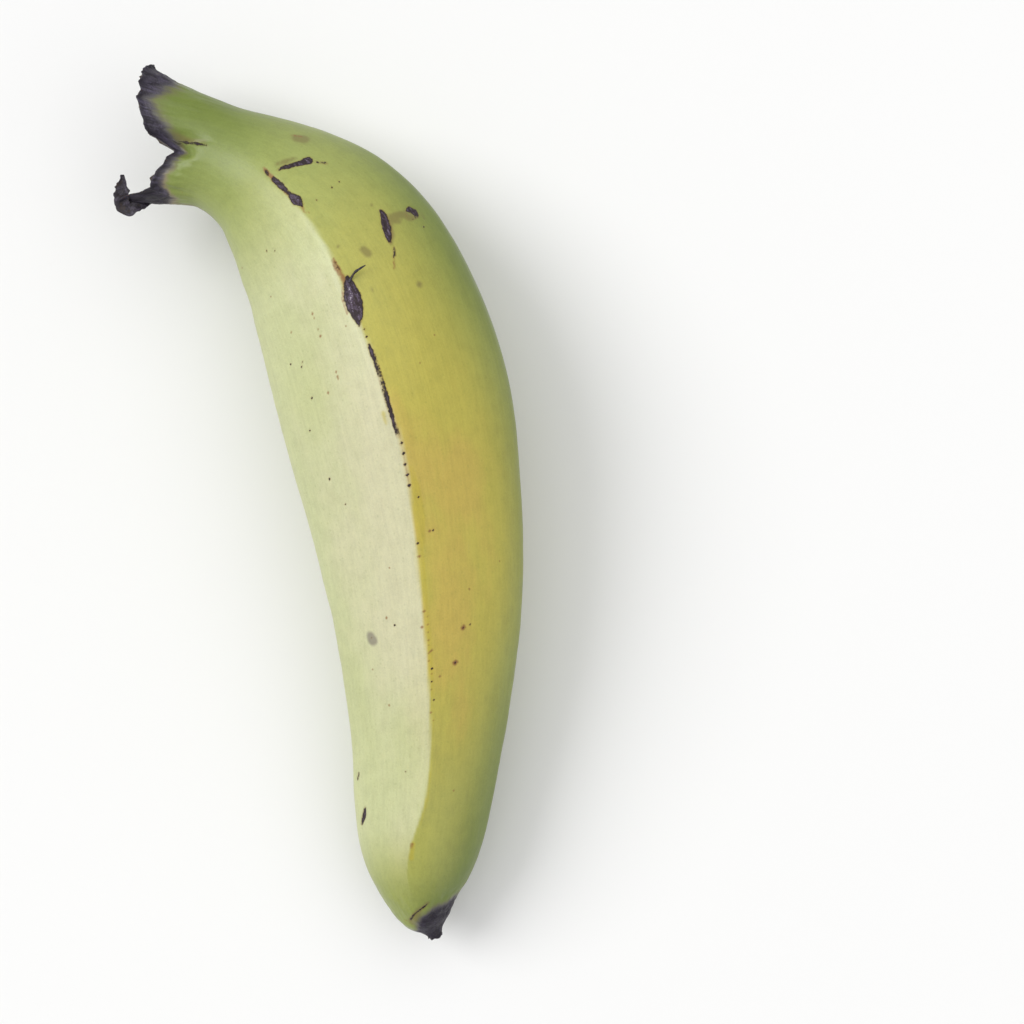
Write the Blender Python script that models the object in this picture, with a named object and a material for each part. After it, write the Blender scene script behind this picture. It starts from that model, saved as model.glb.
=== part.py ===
"""A plantain, as picked: one curved, five-sided fruit lying on its flattest side.

The fruit grew as one piece, so it is one solid. Its stem end keeps a torn piece of the crown
that held it to the bunch, split into two lobes, and its blossom end tapers to a small dry stub.
Metres, +Z up. The fruit rests on z = 0, with the centre of its bounding box over the origin,
the crown towards -X and +Y, and the bend opening towards -X.
"""

import math

import bmesh
import bpy
from mathutils import Vector

MM = 0.001

# The middle line of the fruit in plan, from the torn crown to the blossom tip.
SPINE_MM = [
    (-43.8, 88.7),
    (-36.1, 86.7),
    (-24.5, 83.3),
    (-13.0, 77.3),
    (-1.7, 67.3),
    (7.3, 54.8),
    (15.6, 33.5),
    (21.8, 5.9),
    (25.4, -22.9),
    (25.7, -51.7),
    (23.9, -80.5),
    (24.0, -92.8),
    (25.1, -99.4),
    (27.3, -105.2),
]

# Along the middle line: distance from the crown, half width, half height, how angular the
# section is (2 is round), and how far the ridges are turned towards the inner side, in degrees.
SECTIONS_MM = [
    (0.0, 17.3, 8.4, 2.3, -10.0),
    (8.0, 14.9, 9.0, 2.4, -10.0),
    (13.5, 13.6, 9.6, 2.6, -10.0),
    (20.0, 13.0, 10.5, 2.9, -10.0),
    (28.0, 14.8, 12.8, 3.4, -9.0),
    (37.0, 18.4, 16.8, 4.2, -5.0),
    (48.0, 22.4, 21.0, 5.2, 1.0),
    (66.0, 25.8, 24.6, 6.0, 5.0),
    (94.0, 27.5, 26.0, 6.2, 3.0),
    (122.0, 25.4, 24.2, 6.0, 2.0),
    (150.0, 22.2, 21.4, 5.8, 0.0),
    (178.0, 18.2, 17.8, 5.4, -2.0),
    (200.0, 15.4, 15.0, 4.8, -3.0),
    (209.0, 12.9, 12.5, 4.2, -3.0),
    (217.0, 8.8, 8.6, 3.4, -3.0),
    (220.5, 6.8, 6.6, 3.0, -3.0),
    (223.0, 5.0, 4.9, 2.7, -3.0),
    (224.8, 2.9, 2.9, 2.3, -3.0),
    (226.5, 1.7, 1.7, 2.2, -3.0),
]

# The directions that the five faces look in, round the section: 0 is the outer side of the
# bend, 90 is up. The last one is the face that the fruit lies on.
FACE_DIRECTIONS_DEG = (54, 126, 196, -16, -90)
# The ribs that stand where two faces meet, by direction, with their height.
RIBS = ((90, 0.75 * MM), (17, 0.35 * MM), (162, 0.35 * MM))
RIB_SPREAD_DEG = 7
RIB_FADE = (34 * MM, 205 * MM, 14 * MM)

# How high the middle line runs, by distance from the crown. Between the two lifted ends the
# underside is just clear of the surface.
HEIGHTS_MM = [
    (0.0, 23.4),
    (20.0, 23.4),
    (37.0, 23.2),
    (50.0, 23.3),
    (66.0, 25.2),
    (94.0, 26.6),
    (122.0, 24.8),
    (150.0, 22.0),
    (178.0, 18.4),
    (200.0, 15.9),
    (217.0, 13.8),
    (226.5, 12.8),
]
# Three low points round the weight carry the fruit, by distance and direction. Each swells down
# below the surface and is cut flat there.
LOW_POINTS = ((62 * MM, -100), (112 * MM, -76), (176 * MM, -97))
LOW_POINT_SPREAD = 8 * MM
LOW_POINT_SPREAD_DEG = 24
SWELLING = 1.4 * MM

# The torn end of the crown, as (across, set back): positive across is towards the outer side.
# A dried flap stands out at the inner edge, and a split parts the two lobes.
TORN_EDGE_MM = [
    (-18.0, 0.1),
    (-16.2, -0.7),
    (-13.9, 3.4),
    (-12.2, 6.4),
    (-10.4, 6.7),
    (-7.8, 7.6),
    (-5.4, 8.7),
    (-2.9, 9.5),
    (-1.9, 9.7),
    (-1.2, 8.4),
    (-0.5, 6.8),
    (0.0, 4.7),
    (0.4, 3.0),
    (1.7, 2.1),
    (4.4, 0.8),
    (6.5, -0.5),
    (8.3, -1.3),
    (10.8, -1.7),
    (13.4, -2.0),
    (15.8, -2.2),
    (17.0, -1.4),
    (18.0, 0.2),
]
TEAR_REACHES = 19 * MM
TEETH_DEPTH = 0.4 * MM
# The cut slants: it lies further back by this share of the depth below the middle line.
UNDERCUT = 0.12
DISHING = 1.8 * MM
# The crease that runs on from the split, on both sides of the crown.
CREASE_FROM = -2.0 * MM
CREASE_TO = 2.6 * MM
CREASE_DEPTH = 2.2 * MM
CREASE_SPREAD = 2.4 * MM
CREASE_LENGTH = 20 * MM

RINGS = 88
SIDES = 48
END_RINGS = (0.82, 0.55, 0.26)
TIP_RINGS = (0.75, 0.42)
TIP_DIMPLE = 0.3 * MM

PEEL_COLOUR = (0.40, 0.42, 0.10, 1.0)


def clear_scene():
    """Removes every object that the file opened with."""
    for obj in list(bpy.data.objects):
        bpy.data.objects.remove(obj)


def slope(knots, values, i):
    """The slope at knot i, from its two neighbours."""
    before, after = max(i - 1, 0), min(i + 1, len(knots) - 1)
    return (values[after] - values[before]) / (knots[after] - knots[before])


def through(knots, values, t):
    """The value at t of a smooth cubic through the knots. The values may be vectors."""
    t = min(max(t, knots[0]), knots[-1])
    i = max(k for k in range(len(knots) - 1) if knots[k] <= t)
    span = knots[i + 1] - knots[i]
    f = (t - knots[i]) / span
    rise = f * f * (3 - 2 * f)
    start_bow = f * (1 - f) ** 2 * span
    end_bow = f * f * (f - 1) * span
    bow = slope(knots, values, i) * start_bow + slope(knots, values, i + 1) * end_bow
    return values[i] * (1 - rise) + values[i + 1] * rise + bow


def ease(x):
    """0 below 0, 1 above 1, and smooth between."""
    x = min(max(x, 0.0), 1.0)
    return x * x * (3 - 2 * x)


def bump(x, middle, spread):
    """A smooth hill of height 1 at the middle."""
    return math.exp(-(((x - middle) / spread) ** 2))


PLAN = [Vector((x, y, 0)) * MM for x, y in SPINE_MM]
PLAN_KNOTS = [0.0]
for near, far in zip(PLAN, PLAN[1:]):
    PLAN_KNOTS.append(PLAN_KNOTS[-1] + (far - near).length)
LENGTH = PLAN_KNOTS[-1]
SECTION_KNOTS = [row[0] * MM for row in SECTIONS_MM]
HALF_WIDTHS = [row[1] * MM for row in SECTIONS_MM]
HALF_HEIGHTS = [row[2] * MM for row in SECTIONS_MM]
ANGULARITIES = [row[3] for row in SECTIONS_MM]
TURNS = [math.radians(row[4]) for row in SECTIONS_MM]
HEIGHT_KNOTS = [row[0] * MM for row in HEIGHTS_MM]
HEIGHTS = [row[1] * MM for row in HEIGHTS_MM]
TORN_KNOTS = [row[0] * MM for row in TORN_EDGE_MM]
TORN_SET_BACKS = [row[1] * MM for row in TORN_EDGE_MM]


def rib_height(direction, t):
    """How far the ribs stand out of the section at this direction."""
    fade_in, fade_out, fade = RIB_FADE
    strength = ease((t - fade_in) / fade) * ease((fade_out - t) / fade)
    spread = math.radians(RIB_SPREAD_DEG)
    height = 0.0
    for rib, rise in RIBS:
        away = math.remainder(direction - math.radians(rib), 2 * math.pi)
        height += rise * bump(away, 0, spread)
    return height * strength


def section(t):
    """The outline of the section at t, as (across, up) points from the middle line."""
    angularity = through(SECTION_KNOTS, ANGULARITIES, t)
    turn = through(SECTION_KNOTS, TURNS, t)
    points = []
    for side in range(SIDES):
        direction = -math.pi / 2 + 2 * math.pi * side / SIDES
        reach = 0.0
        for face in FACE_DIRECTIONS_DEG:
            towards = math.cos(direction - turn - math.radians(face))
            reach += max(towards, 0.0) ** angularity
        radius = reach ** (-1 / angularity)
        points.append((radius * math.cos(direction), radius * math.sin(direction)))
    across = [p[0] for p in points]
    up = [p[1] for p in points]
    width = 2 * through(SECTION_KNOTS, HALF_WIDTHS, t) / (max(across) - min(across))
    height = 2 * through(SECTION_KNOTS, HALF_HEIGHTS, t) / (max(up) - min(up))
    mid_across = (max(across) + min(across)) / 2
    mid_up = (max(up) + min(up)) / 2
    outline = []
    for side, (u, w) in enumerate(points):
        direction = -math.pi / 2 + 2 * math.pi * side / SIDES
        rib = rib_height(direction - turn, t)
        u = (u - mid_across) * width + rib * math.cos(direction)
        w = (w - mid_up) * height + rib * math.sin(direction) - swelling(direction, t)
        outline.append((u, w - crease(u, t) * math.copysign(min(abs(w) / (5 * MM), 1), w)))
    return outline


def crease(u, t):
    """The depth of the crease between the two lobes of the crown."""
    along = t / CREASE_LENGTH
    middle = CREASE_FROM + (CREASE_TO - CREASE_FROM) * along
    return CREASE_DEPTH * bump(u, middle, CREASE_SPREAD) * ease((1 - along) * 1.6)


def swelling(direction, t):
    """How far the underside is let down at this direction by the three low points."""
    lowered = 0.0
    for distance, low in LOW_POINTS:
        away = math.remainder(direction - math.radians(low), 2 * math.pi)
        spread = math.radians(LOW_POINT_SPREAD_DEG)
        lowered += bump(t, distance, LOW_POINT_SPREAD) * bump(away, 0, spread)
    return SWELLING * lowered


def spine_height(t):
    """The height of the middle line."""
    return through(HEIGHT_KNOTS, HEIGHTS, t)


def frame_at(t):
    """The point of the middle line in plan, the way on along it, and the way to the outer side."""
    step = 0.5 * MM
    ahead = through(PLAN_KNOTS, PLAN, t + step) - through(PLAN_KNOTS, PLAN, t - step)
    forward = ahead.normalized()
    return through(PLAN_KNOTS, PLAN, t), forward, Vector((-forward.y, forward.x, 0))


def torn_back(u, w):
    """How far the torn end of the crown is set back at this point of its section."""
    teeth = math.sin(u * 2100 + w * 900) + 0.6 * math.sin(u * 4300 - w * 1700 + 1)
    return through(TORN_KNOTS, TORN_SET_BACKS, u) + TEETH_DEPTH * teeth + UNDERCUT * max(-w, 0.0)


def ring_stations():
    """Distances along the fruit for the rings, closer together towards both ends."""
    stations = []
    for ring in range(RINGS):
        share = ring / (RINGS - 1)
        stations.append(LENGTH * (share - 0.055 * math.sin(2 * math.pi * share)))
    return stations


def place_ring(verts, t, outline, shrink=1.0, forward_shift=0.0):
    """Moves a ring of vertices to the section at t, or to a smaller copy of it on an end."""
    point, forward, outward = frame_at(t)
    point = point + Vector((0, 0, spine_height(t)))
    for vert, (u, w) in zip(verts, outline):
        tear = torn_back(u, w) * ease(1 - t / TEAR_REACHES) if shrink == 1.0 else 0.0
        across = outward * u * shrink + Vector((0, 0, w * shrink))
        vert.co = point + across + forward * (tear + forward_shift)


def next_ring(bm, edges):
    """Extrudes a ring of edges and returns the new edges and their vertices in ring order."""
    made = bmesh.ops.extrude_edge_only(bm, edges=edges)["geom"]
    new_edges = [e for e in made if isinstance(e, bmesh.types.BMEdge) and e.is_boundary]
    verts = {v for e in new_edges for v in e.verts}
    side = bm.verts.layers.int["side"]
    return new_edges, sorted(verts, key=lambda v: v[side])


def first_ring(bm):
    """The ring that the fruit is grown from, with its vertices numbered round it."""
    side = bm.verts.layers.int.new("side")
    verts = bmesh.ops.create_circle(bm, segments=SIDES, radius=1)["verts"]
    verts.sort(key=lambda v: math.atan2(v.co.y, v.co.x) % (2 * math.pi))
    for number, vert in enumerate(verts):
        vert[side] = number
    return list(bm.edges), verts


def close_crown(bm, edges, outline):
    """The torn end: rings that run inwards over the dished, uneven cut, then a small face."""
    point, forward, outward = frame_at(0)
    point = point + Vector((0, 0, spine_height(0)))
    for shrink in END_RINGS:
        edges, verts = next_ring(bm, edges)
        for vert, (u, w) in zip(verts, outline):
            # The cut closes on a line along the lobes, not on a point, as a flat crown does.
            inner_u = u * (0.35 + 0.65 * shrink)
            dish = DISHING * (1 - shrink) + torn_back(inner_u, w * shrink)
            vert.co = point + outward * inner_u + Vector((0, 0, w * shrink)) + forward * dish
    bmesh.ops.contextual_create(bm, geom=edges)


def close_tip(bm, edges, outline):
    """The blossom end: the stub's small face, with a shallow dimple."""
    for shrink in TIP_RINGS:
        edges, verts = next_ring(bm, edges)
        place_ring(verts, LENGTH, outline, shrink, -TIP_DIMPLE * (1 - shrink))
    bmesh.ops.contextual_create(bm, geom=edges)


def grow_fruit():
    """The mesh of the whole fruit, ring by ring from the crown to the tip."""
    bm = bmesh.new()
    edges, verts = first_ring(bm)
    crown_edges = edges
    stations = ring_stations()
    crown_outline = section(stations[0])
    place_ring(verts, stations[0], crown_outline)
    for t in stations[1:]:
        outline = section(t)
        edges, verts = next_ring(bm, edges)
        place_ring(verts, t, outline)
    close_tip(bm, edges, outline)
    close_crown(bm, crown_edges, crown_outline)
    for vert in bm.verts:
        vert.co.z = max(vert.co.z, 0.0)
    bmesh.ops.triangulate(bm, faces=[f for f in bm.faces if len(f.verts) > 4])
    bmesh.ops.recalc_face_normals(bm, faces=bm.faces)
    return bm


def centre_on_base(bm):
    """Moves the fruit so that the centre of its bounding box is over the origin."""
    low = [min(v.co[axis] for v in bm.verts) for axis in (0, 1)]
    high = [max(v.co[axis] for v in bm.verts) for axis in (0, 1)]
    middle = Vector(((low[0] + high[0]) / 2, (low[1] + high[1]) / 2, 0))
    bmesh.ops.translate(bm, verts=bm.verts, vec=-middle)


def peel_material():
    """Green peel turning yellow, with a soft shine."""
    material = bpy.data.materials.new("peel")
    material.use_nodes = True
    shader = material.node_tree.nodes["Principled BSDF"]
    shader.inputs["Base Color"].default_value = PEEL_COLOUR
    shader.inputs["Roughness"].default_value = 0.42
    shader.inputs["Metallic"].default_value = 0.0
    return material


def main():
    clear_scene()
    collection = bpy.data.collections.new("plantain")
    bpy.context.scene.collection.children.link(collection)
    bm = grow_fruit()
    centre_on_base(bm)
    mesh = bpy.data.meshes.new("plantain")
    bm.to_mesh(mesh)
    bm.free()
    mesh.materials.append(peel_material())
    mesh.shade_smooth()
    fruit = bpy.data.objects.new("plantain", mesh)
    collection.objects.link(fruit)


main()
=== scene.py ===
"""The looks of a plantain that lies on its side, as picked.

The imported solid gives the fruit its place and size. Here the same fruit is grown again on a fine
mesh, with the relief, the scars and the dried ends that the solid leaves out, and each piece is
dressed with a finish worked out in shader nodes.
"""

import logging
import math
import random
from dataclasses import dataclass, field
from enum import Enum

import bmesh
import bpy
import numpy as np
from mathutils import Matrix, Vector, noise


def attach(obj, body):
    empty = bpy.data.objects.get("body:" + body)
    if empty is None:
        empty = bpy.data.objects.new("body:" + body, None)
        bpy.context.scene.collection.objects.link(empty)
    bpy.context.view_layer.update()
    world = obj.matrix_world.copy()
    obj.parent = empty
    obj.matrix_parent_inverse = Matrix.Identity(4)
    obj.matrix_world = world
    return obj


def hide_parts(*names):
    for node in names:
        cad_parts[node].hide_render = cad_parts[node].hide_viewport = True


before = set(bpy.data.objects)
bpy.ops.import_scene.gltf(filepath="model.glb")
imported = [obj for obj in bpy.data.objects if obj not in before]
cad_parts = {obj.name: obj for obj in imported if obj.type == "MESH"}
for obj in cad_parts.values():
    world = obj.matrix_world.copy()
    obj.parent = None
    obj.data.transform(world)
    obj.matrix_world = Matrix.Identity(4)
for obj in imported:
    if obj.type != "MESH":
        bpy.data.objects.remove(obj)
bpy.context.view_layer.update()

LOG = logging.getLogger("plantain")
MM = 0.001
BODY = "root"
NODE = "plantain"

Colour = tuple[float, float, float]
Spot = tuple[float, float, float]
Place = tuple[float, float]

# Further than any mark is from any point, in metres.
FAR = 1.0


class Tissue(Enum):
    """What a mark on the peel is made of. The value names the mesh attribute that holds it."""

    SCAR = "scar"
    RUSSET = "russet"
    BRUISE = "bruise"
    GOLD = "gold"


def ease(x: np.ndarray) -> np.ndarray:
    """0 below 0, 1 above 1, and smooth between."""
    x = np.clip(x, 0.0, 1.0)
    return x * x * (3 - 2 * x)


def rise(x: np.ndarray, low: float, high: float) -> np.ndarray:
    """0 up to low, 1 from high on, and smooth between. It falls where high is below low."""
    return ease((x - low) / (high - low))


def between(along: np.ndarray, start_mm: Place, end_mm: Place) -> np.ndarray:
    """1 along a stretch of the fruit, and 0 outside it, with a soft limit at each end."""
    start = rise(along, start_mm[0] * MM, start_mm[1] * MM)
    return start * rise(along, end_mm[0] * MM, end_mm[1] * MM)


def hill(x: np.ndarray, middle: float, spread: float) -> np.ndarray:
    """A smooth hill of height 1 at the middle."""
    return np.exp(-(((x - middle) / spread) ** 2))


def turn_between(direction: np.ndarray, degrees: float) -> np.ndarray:
    """How far a direction is from a number of degrees, in radians from -pi to pi."""
    away = direction - math.radians(degrees)
    return (away + math.pi) % (2 * math.pi) - math.pi


def roughness_at(places: np.ndarray, size: float, octaves: int, seed: float) -> np.ndarray:
    """Fractal noise from about -1 to 1.

    Args:
        places: Points, with the three coordinates on the last axis.
        size: The size of the largest bumps, in the points' units.
        octaves: How many finer layers are laid over one another.
        seed: Moves the pattern, so that each use has its own.

    Returns:
        One number for each point.
    """
    shift = Vector((seed * 7.3, -seed * 3.1, seed * 5.7))
    flat = (places.reshape(-1, 3) / size).tolist()
    values = [noise.fractal(Vector(place) + shift, 1.0, 2.0, octaves) for place in flat]
    return np.array(values).reshape(places.shape[:-1])


class Course:
    """A smooth run of numbers or points along a length, through its knots."""

    def __init__(self, knots: np.ndarray, values: np.ndarray) -> None:
        """Works out the slope at each knot from its two neighbours."""
        self.knots = knots
        self.values = values
        order = np.arange(len(knots))
        before = np.maximum(order - 1, 0)
        after = np.minimum(order + 1, len(knots) - 1)
        gaps = knots[after] - knots[before]
        self.slopes = ((values[after] - values[before]).T / gaps).T

    def at(self, where: np.ndarray) -> np.ndarray:
        """The values at these distances."""
        where = np.clip(where, self.knots[0], self.knots[-1])
        knot = np.searchsorted(self.knots, where, side="right") - 1
        knot = np.clip(knot, 0, len(self.knots) - 2)
        span = self.knots[knot + 1] - self.knots[knot]
        share = (where - self.knots[knot]) / span
        if self.values.ndim > 1:
            span, share = span[..., None], share[..., None]
        blend = share * share * (3 - 2 * share)
        start_bow = self.slopes[knot] * share * (1 - share) ** 2 * span
        end_bow = self.slopes[knot + 1] * share * share * (share - 1) * span
        return self.values[knot] * (1 - blend) + self.values[knot + 1] * blend + start_bow + end_bow


def course_of(points: tuple[Place, ...]) -> Course:
    """A smooth course through pairs of a distance and a value."""
    table = np.array(points, dtype=float)
    return Course(table[:, 0], table[:, 1])


def route_through(points_mm: tuple[Spot, ...] | tuple[Place, ...]) -> Course:
    """A smooth route through points in millimetres, by the distance along it in metres."""
    line = np.array(points_mm) * MM
    steps = np.linalg.norm(np.diff(line, axis=0), axis=1)
    return Course(np.concatenate([[0.0], np.cumsum(steps)]), line)


def heading(route: Course, along: np.ndarray, step: float) -> np.ndarray:
    """Which way a route runs at these distances, as unit vectors."""
    ahead = route.at(along + step) - route.at(along - step)
    return ahead / np.linalg.norm(ahead, axis=1)[:, None]


@dataclass
class FruitForm:
    """The shape of the fruit, as its solid has it. Sizes are in millimetres."""

    middle_line_mm: tuple[Place, ...] = (
        (-43.8, 88.7), (-36.1, 86.7), (-24.5, 83.3), (-13.0, 77.3), (-1.7, 67.3), (7.3, 54.8),
        (15.6, 33.5), (21.8, 5.9), (25.4, -22.9), (25.7, -51.7), (23.9, -80.5), (24.0, -92.8),
        (25.1, -99.4), (27.3, -105.2),
    )
    # Distance from the crown, half width, half height, angularity, turn of the ridges in degrees.
    sections_mm: tuple[tuple[float, ...], ...] = (
        (0.0, 17.3, 8.4, 2.3, -10.0),
        (8.0, 14.9, 9.0, 2.4, -10.0),
        (13.5, 13.6, 9.6, 2.6, -10.0),
        (20.0, 13.0, 10.5, 2.9, -10.0),
        (28.0, 14.8, 12.8, 3.4, -9.0),
        (37.0, 18.4, 16.8, 4.2, -5.0),
        (48.0, 22.4, 21.0, 5.2, 1.0),
        (66.0, 25.8, 24.6, 6.0, 5.0),
        (94.0, 27.5, 26.0, 6.2, 3.0),
        (122.0, 25.4, 24.2, 6.0, 2.0),
        (150.0, 22.2, 21.4, 5.8, 0.0),
        (178.0, 18.2, 17.8, 5.4, -2.0),
        (200.0, 15.4, 15.0, 4.8, -3.0),
        (209.0, 12.9, 12.5, 4.2, -3.0),
        (217.0, 8.8, 8.6, 3.4, -3.0),
        (220.5, 6.8, 6.6, 3.0, -3.0),
        (223.0, 5.0, 4.9, 2.7, -3.0),
        (224.8, 2.9, 2.9, 2.3, -3.0),
        (226.5, 1.7, 1.7, 2.2, -3.0),
    )
    heights_mm: tuple[Place, ...] = (
        (0.0, 23.4), (20.0, 23.4), (37.0, 23.2), (50.0, 23.3), (66.0, 25.2), (94.0, 26.6),
        (122.0, 24.8), (150.0, 22.0), (178.0, 18.4), (200.0, 15.9), (217.0, 13.8), (226.5, 12.8),
    )
    torn_edge_mm: tuple[Place, ...] = (
        (-18.0, 0.1), (-16.2, -0.7), (-13.9, 3.4), (-12.2, 6.4), (-10.4, 6.7), (-7.8, 7.6),
        (-5.4, 8.7), (-2.9, 9.5), (-1.9, 9.7), (-1.2, 8.4), (-0.5, 6.8), (0.0, 4.7), (0.4, 3.0),
        (1.7, 2.1), (4.4, 0.8), (6.5, -0.5), (8.3, -1.3), (10.8, -1.7), (13.4, -2.0), (15.8, -2.2),
        (17.0, -1.4), (18.0, 0.2),
    )
    faces_deg: tuple[float, ...] = (54, 126, 196, -16, -90)
    # Where the top ridge runs: distance from the crown, and direction in degrees.
    top_ridge: tuple[Place, ...] = (
        (28, 87), (45, 90), (61, 94), (70, 95.5), (84, 93.5), (98, 92), (104, 90.3), (115, 90),
        (123, 90.7), (134, 91.5), (149, 90.7), (156, 89.5), (165, 88), (178, 86), (186, 86),
        (191, 87), (195, 89.6), (199.5, 94), (203.5, 98), (208, 102), (214, 104),
    )
    top_rib_mm: float = 0.75
    # Direction in degrees and height of the other ribs where two faces meet.
    ribs_mm: tuple[Place, ...] = ((17, 0.35), (162, 0.35), (233, 0.2), (307, 0.2))
    rib_spread_deg: float = 5.5
    # Distance, direction in degrees: the three low points that the fruit lies on.
    low_points_mm: tuple[Place, ...] = ((62, -100), (112, -76), (176, -97))
    tear_reaches: float = 19 * MM
    # The cut slants: it lies further back by this share of the depth below the middle line.
    undercut: float = 0.12
    samples_round: int = 144
    plan: Course = field(init=False)
    length: float = field(init=False)
    half_width: Course = field(init=False)
    half_height: Course = field(init=False)
    angularity: Course = field(init=False)
    ridge_turn: Course = field(init=False)
    height: Course = field(init=False)
    torn_edge: Course = field(init=False)

    def __post_init__(self) -> None:
        """Makes the smooth courses that the surface is read from."""
        self.plan = route_through(self.middle_line_mm)
        self.length = float(self.plan.knots[-1])
        table = np.array(self.sections_mm)
        stations = table[:, 0] * MM
        self.half_width = Course(stations, table[:, 1] * MM)
        self.half_height = Course(stations, table[:, 2] * MM)
        self.angularity = Course(stations, table[:, 3])
        self.ridge_turn = Course(stations, np.radians(table[:, 4]))
        heights = np.array(self.heights_mm) * MM
        self.height = Course(heights[:, 0], heights[:, 1])
        torn = np.array(self.torn_edge_mm) * MM
        self.torn_edge = Course(torn[:, 0], torn[:, 1])

    def radius(self, along: np.ndarray, direction: np.ndarray) -> np.ndarray:
        """The radius of the section before it is scaled. Both arrays have the same shape."""
        sharp = self.angularity.at(along)
        turned = direction - self.ridge_turn.at(along)
        reach = np.zeros_like(direction)
        for face in self.faces_deg:
            reach += np.maximum(np.cos(turned - math.radians(face)), 0.0) ** sharp
        return reach ** (-1 / sharp)

    def outline(self, along: np.ndarray, direction: np.ndarray) -> tuple[np.ndarray, np.ndarray]:
        """Points of the smooth sections.

        Args:
            along: One distance from the crown for each row.
            direction: Directions round the section, with one row for each distance.

        Returns:
            How far each point is across, towards the outer side of the bend, and up.
        """
        round_way = np.linspace(-math.pi, math.pi, self.samples_round + 1)[:-1]
        rows = np.repeat(along[:, None], len(round_way), axis=1)
        reach = self.radius(rows, np.repeat(round_way[None, :], len(along), axis=0))
        across, up = reach * np.cos(round_way), reach * np.sin(round_way)
        wide = 2 * self.half_width.at(along) / np.ptp(across, axis=1)
        high = 2 * self.half_height.at(along) / np.ptp(up, axis=1)
        mid_across = (across.max(axis=1) + across.min(axis=1)) / 2
        mid_up = (up.max(axis=1) + up.min(axis=1)) / 2
        reach = self.radius(np.repeat(along[:, None], direction.shape[1], axis=1), direction)
        across = (reach * np.cos(direction) - mid_across[:, None]) * wide[:, None]
        up = (reach * np.sin(direction) - mid_up[:, None]) * high[:, None]
        return across, up

    def place(
        self, along: np.ndarray, across: np.ndarray, up: np.ndarray, ahead: np.ndarray
    ) -> np.ndarray:
        """Puts points of the sections where they are in the fruit.

        Args:
            along: One distance from the crown for each row.
            across: How far each point is towards the outer side.
            up: How far it is above the middle line.
            ahead: How far it is moved on along the middle line's direction.

        Returns:
            The points, with their three coordinates on the last axis.
        """
        forward = heading(self.plan, along, 0.5 * MM)
        outward = np.stack([-forward[:, 1], forward[:, 0]], axis=1)
        flat = self.plan.at(along)[:, None, :] + outward[:, None, :] * across[..., None]
        flat = flat + forward[:, None, :] * ahead[..., None]
        height = self.height.at(along)[:, None] + up
        return np.concatenate([flat, height[..., None]], axis=2)

    def spot(self, along_mm: float, direction_deg: float) -> np.ndarray:
        """The point of the smooth surface at a distance from the crown and a direction."""
        along = np.array([along_mm * MM])
        direction = np.array([[math.radians(direction_deg)]])
        across, up = self.outline(along, direction)
        return self.place(along, across, up, np.zeros((1, 1)))[0, 0]


@dataclass(frozen=True)
class Mark:
    """A mark on the peel, drawn as a line of places on it.

    A place is its distance from the crown in millimetres and its direction in degrees, where 0
    is the outer side of the bend and 90 is up. The widths are in millimetres, one for a place.
    """

    tissue: Tissue
    places: tuple[Place, ...]
    widths_mm: tuple[float, ...]

    def distance(self, form: FruitForm, points: np.ndarray) -> np.ndarray:
        """How far each point is outside the mark's edge, in metres; inside it is negative."""
        spots = [form.spot(*place) for place in self.places]
        if len(spots) == 1:
            nearest = int(np.linalg.norm(points - spots[0], axis=1).argmin())
            spots = [points[nearest]]
        best = np.full(len(points), FAR)
        for number in range(max(len(spots) - 1, 1)):
            start = spots[number]
            end = spots[min(number + 1, len(spots) - 1)]
            way = end - start
            squared = max(float(way @ way), 1e-12)
            share = np.clip((points - start) @ way / squared, 0.0, 1.0)
            away = np.linalg.norm(points - start - share[:, None] * way, axis=1)
            width = self.widths_mm[number]
            next_width = self.widths_mm[min(number + 1, len(spots) - 1)]
            half = (width + (next_width - width) * share) * MM / 2
            best = np.minimum(best, away - half)
        return best


def dots(tissue: Tissue, width_mm: float, places: tuple[Place, ...]) -> list[Mark]:
    """Round marks of one width."""
    return [Mark(tissue, (place,), (width_mm,)) for place in places]


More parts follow.
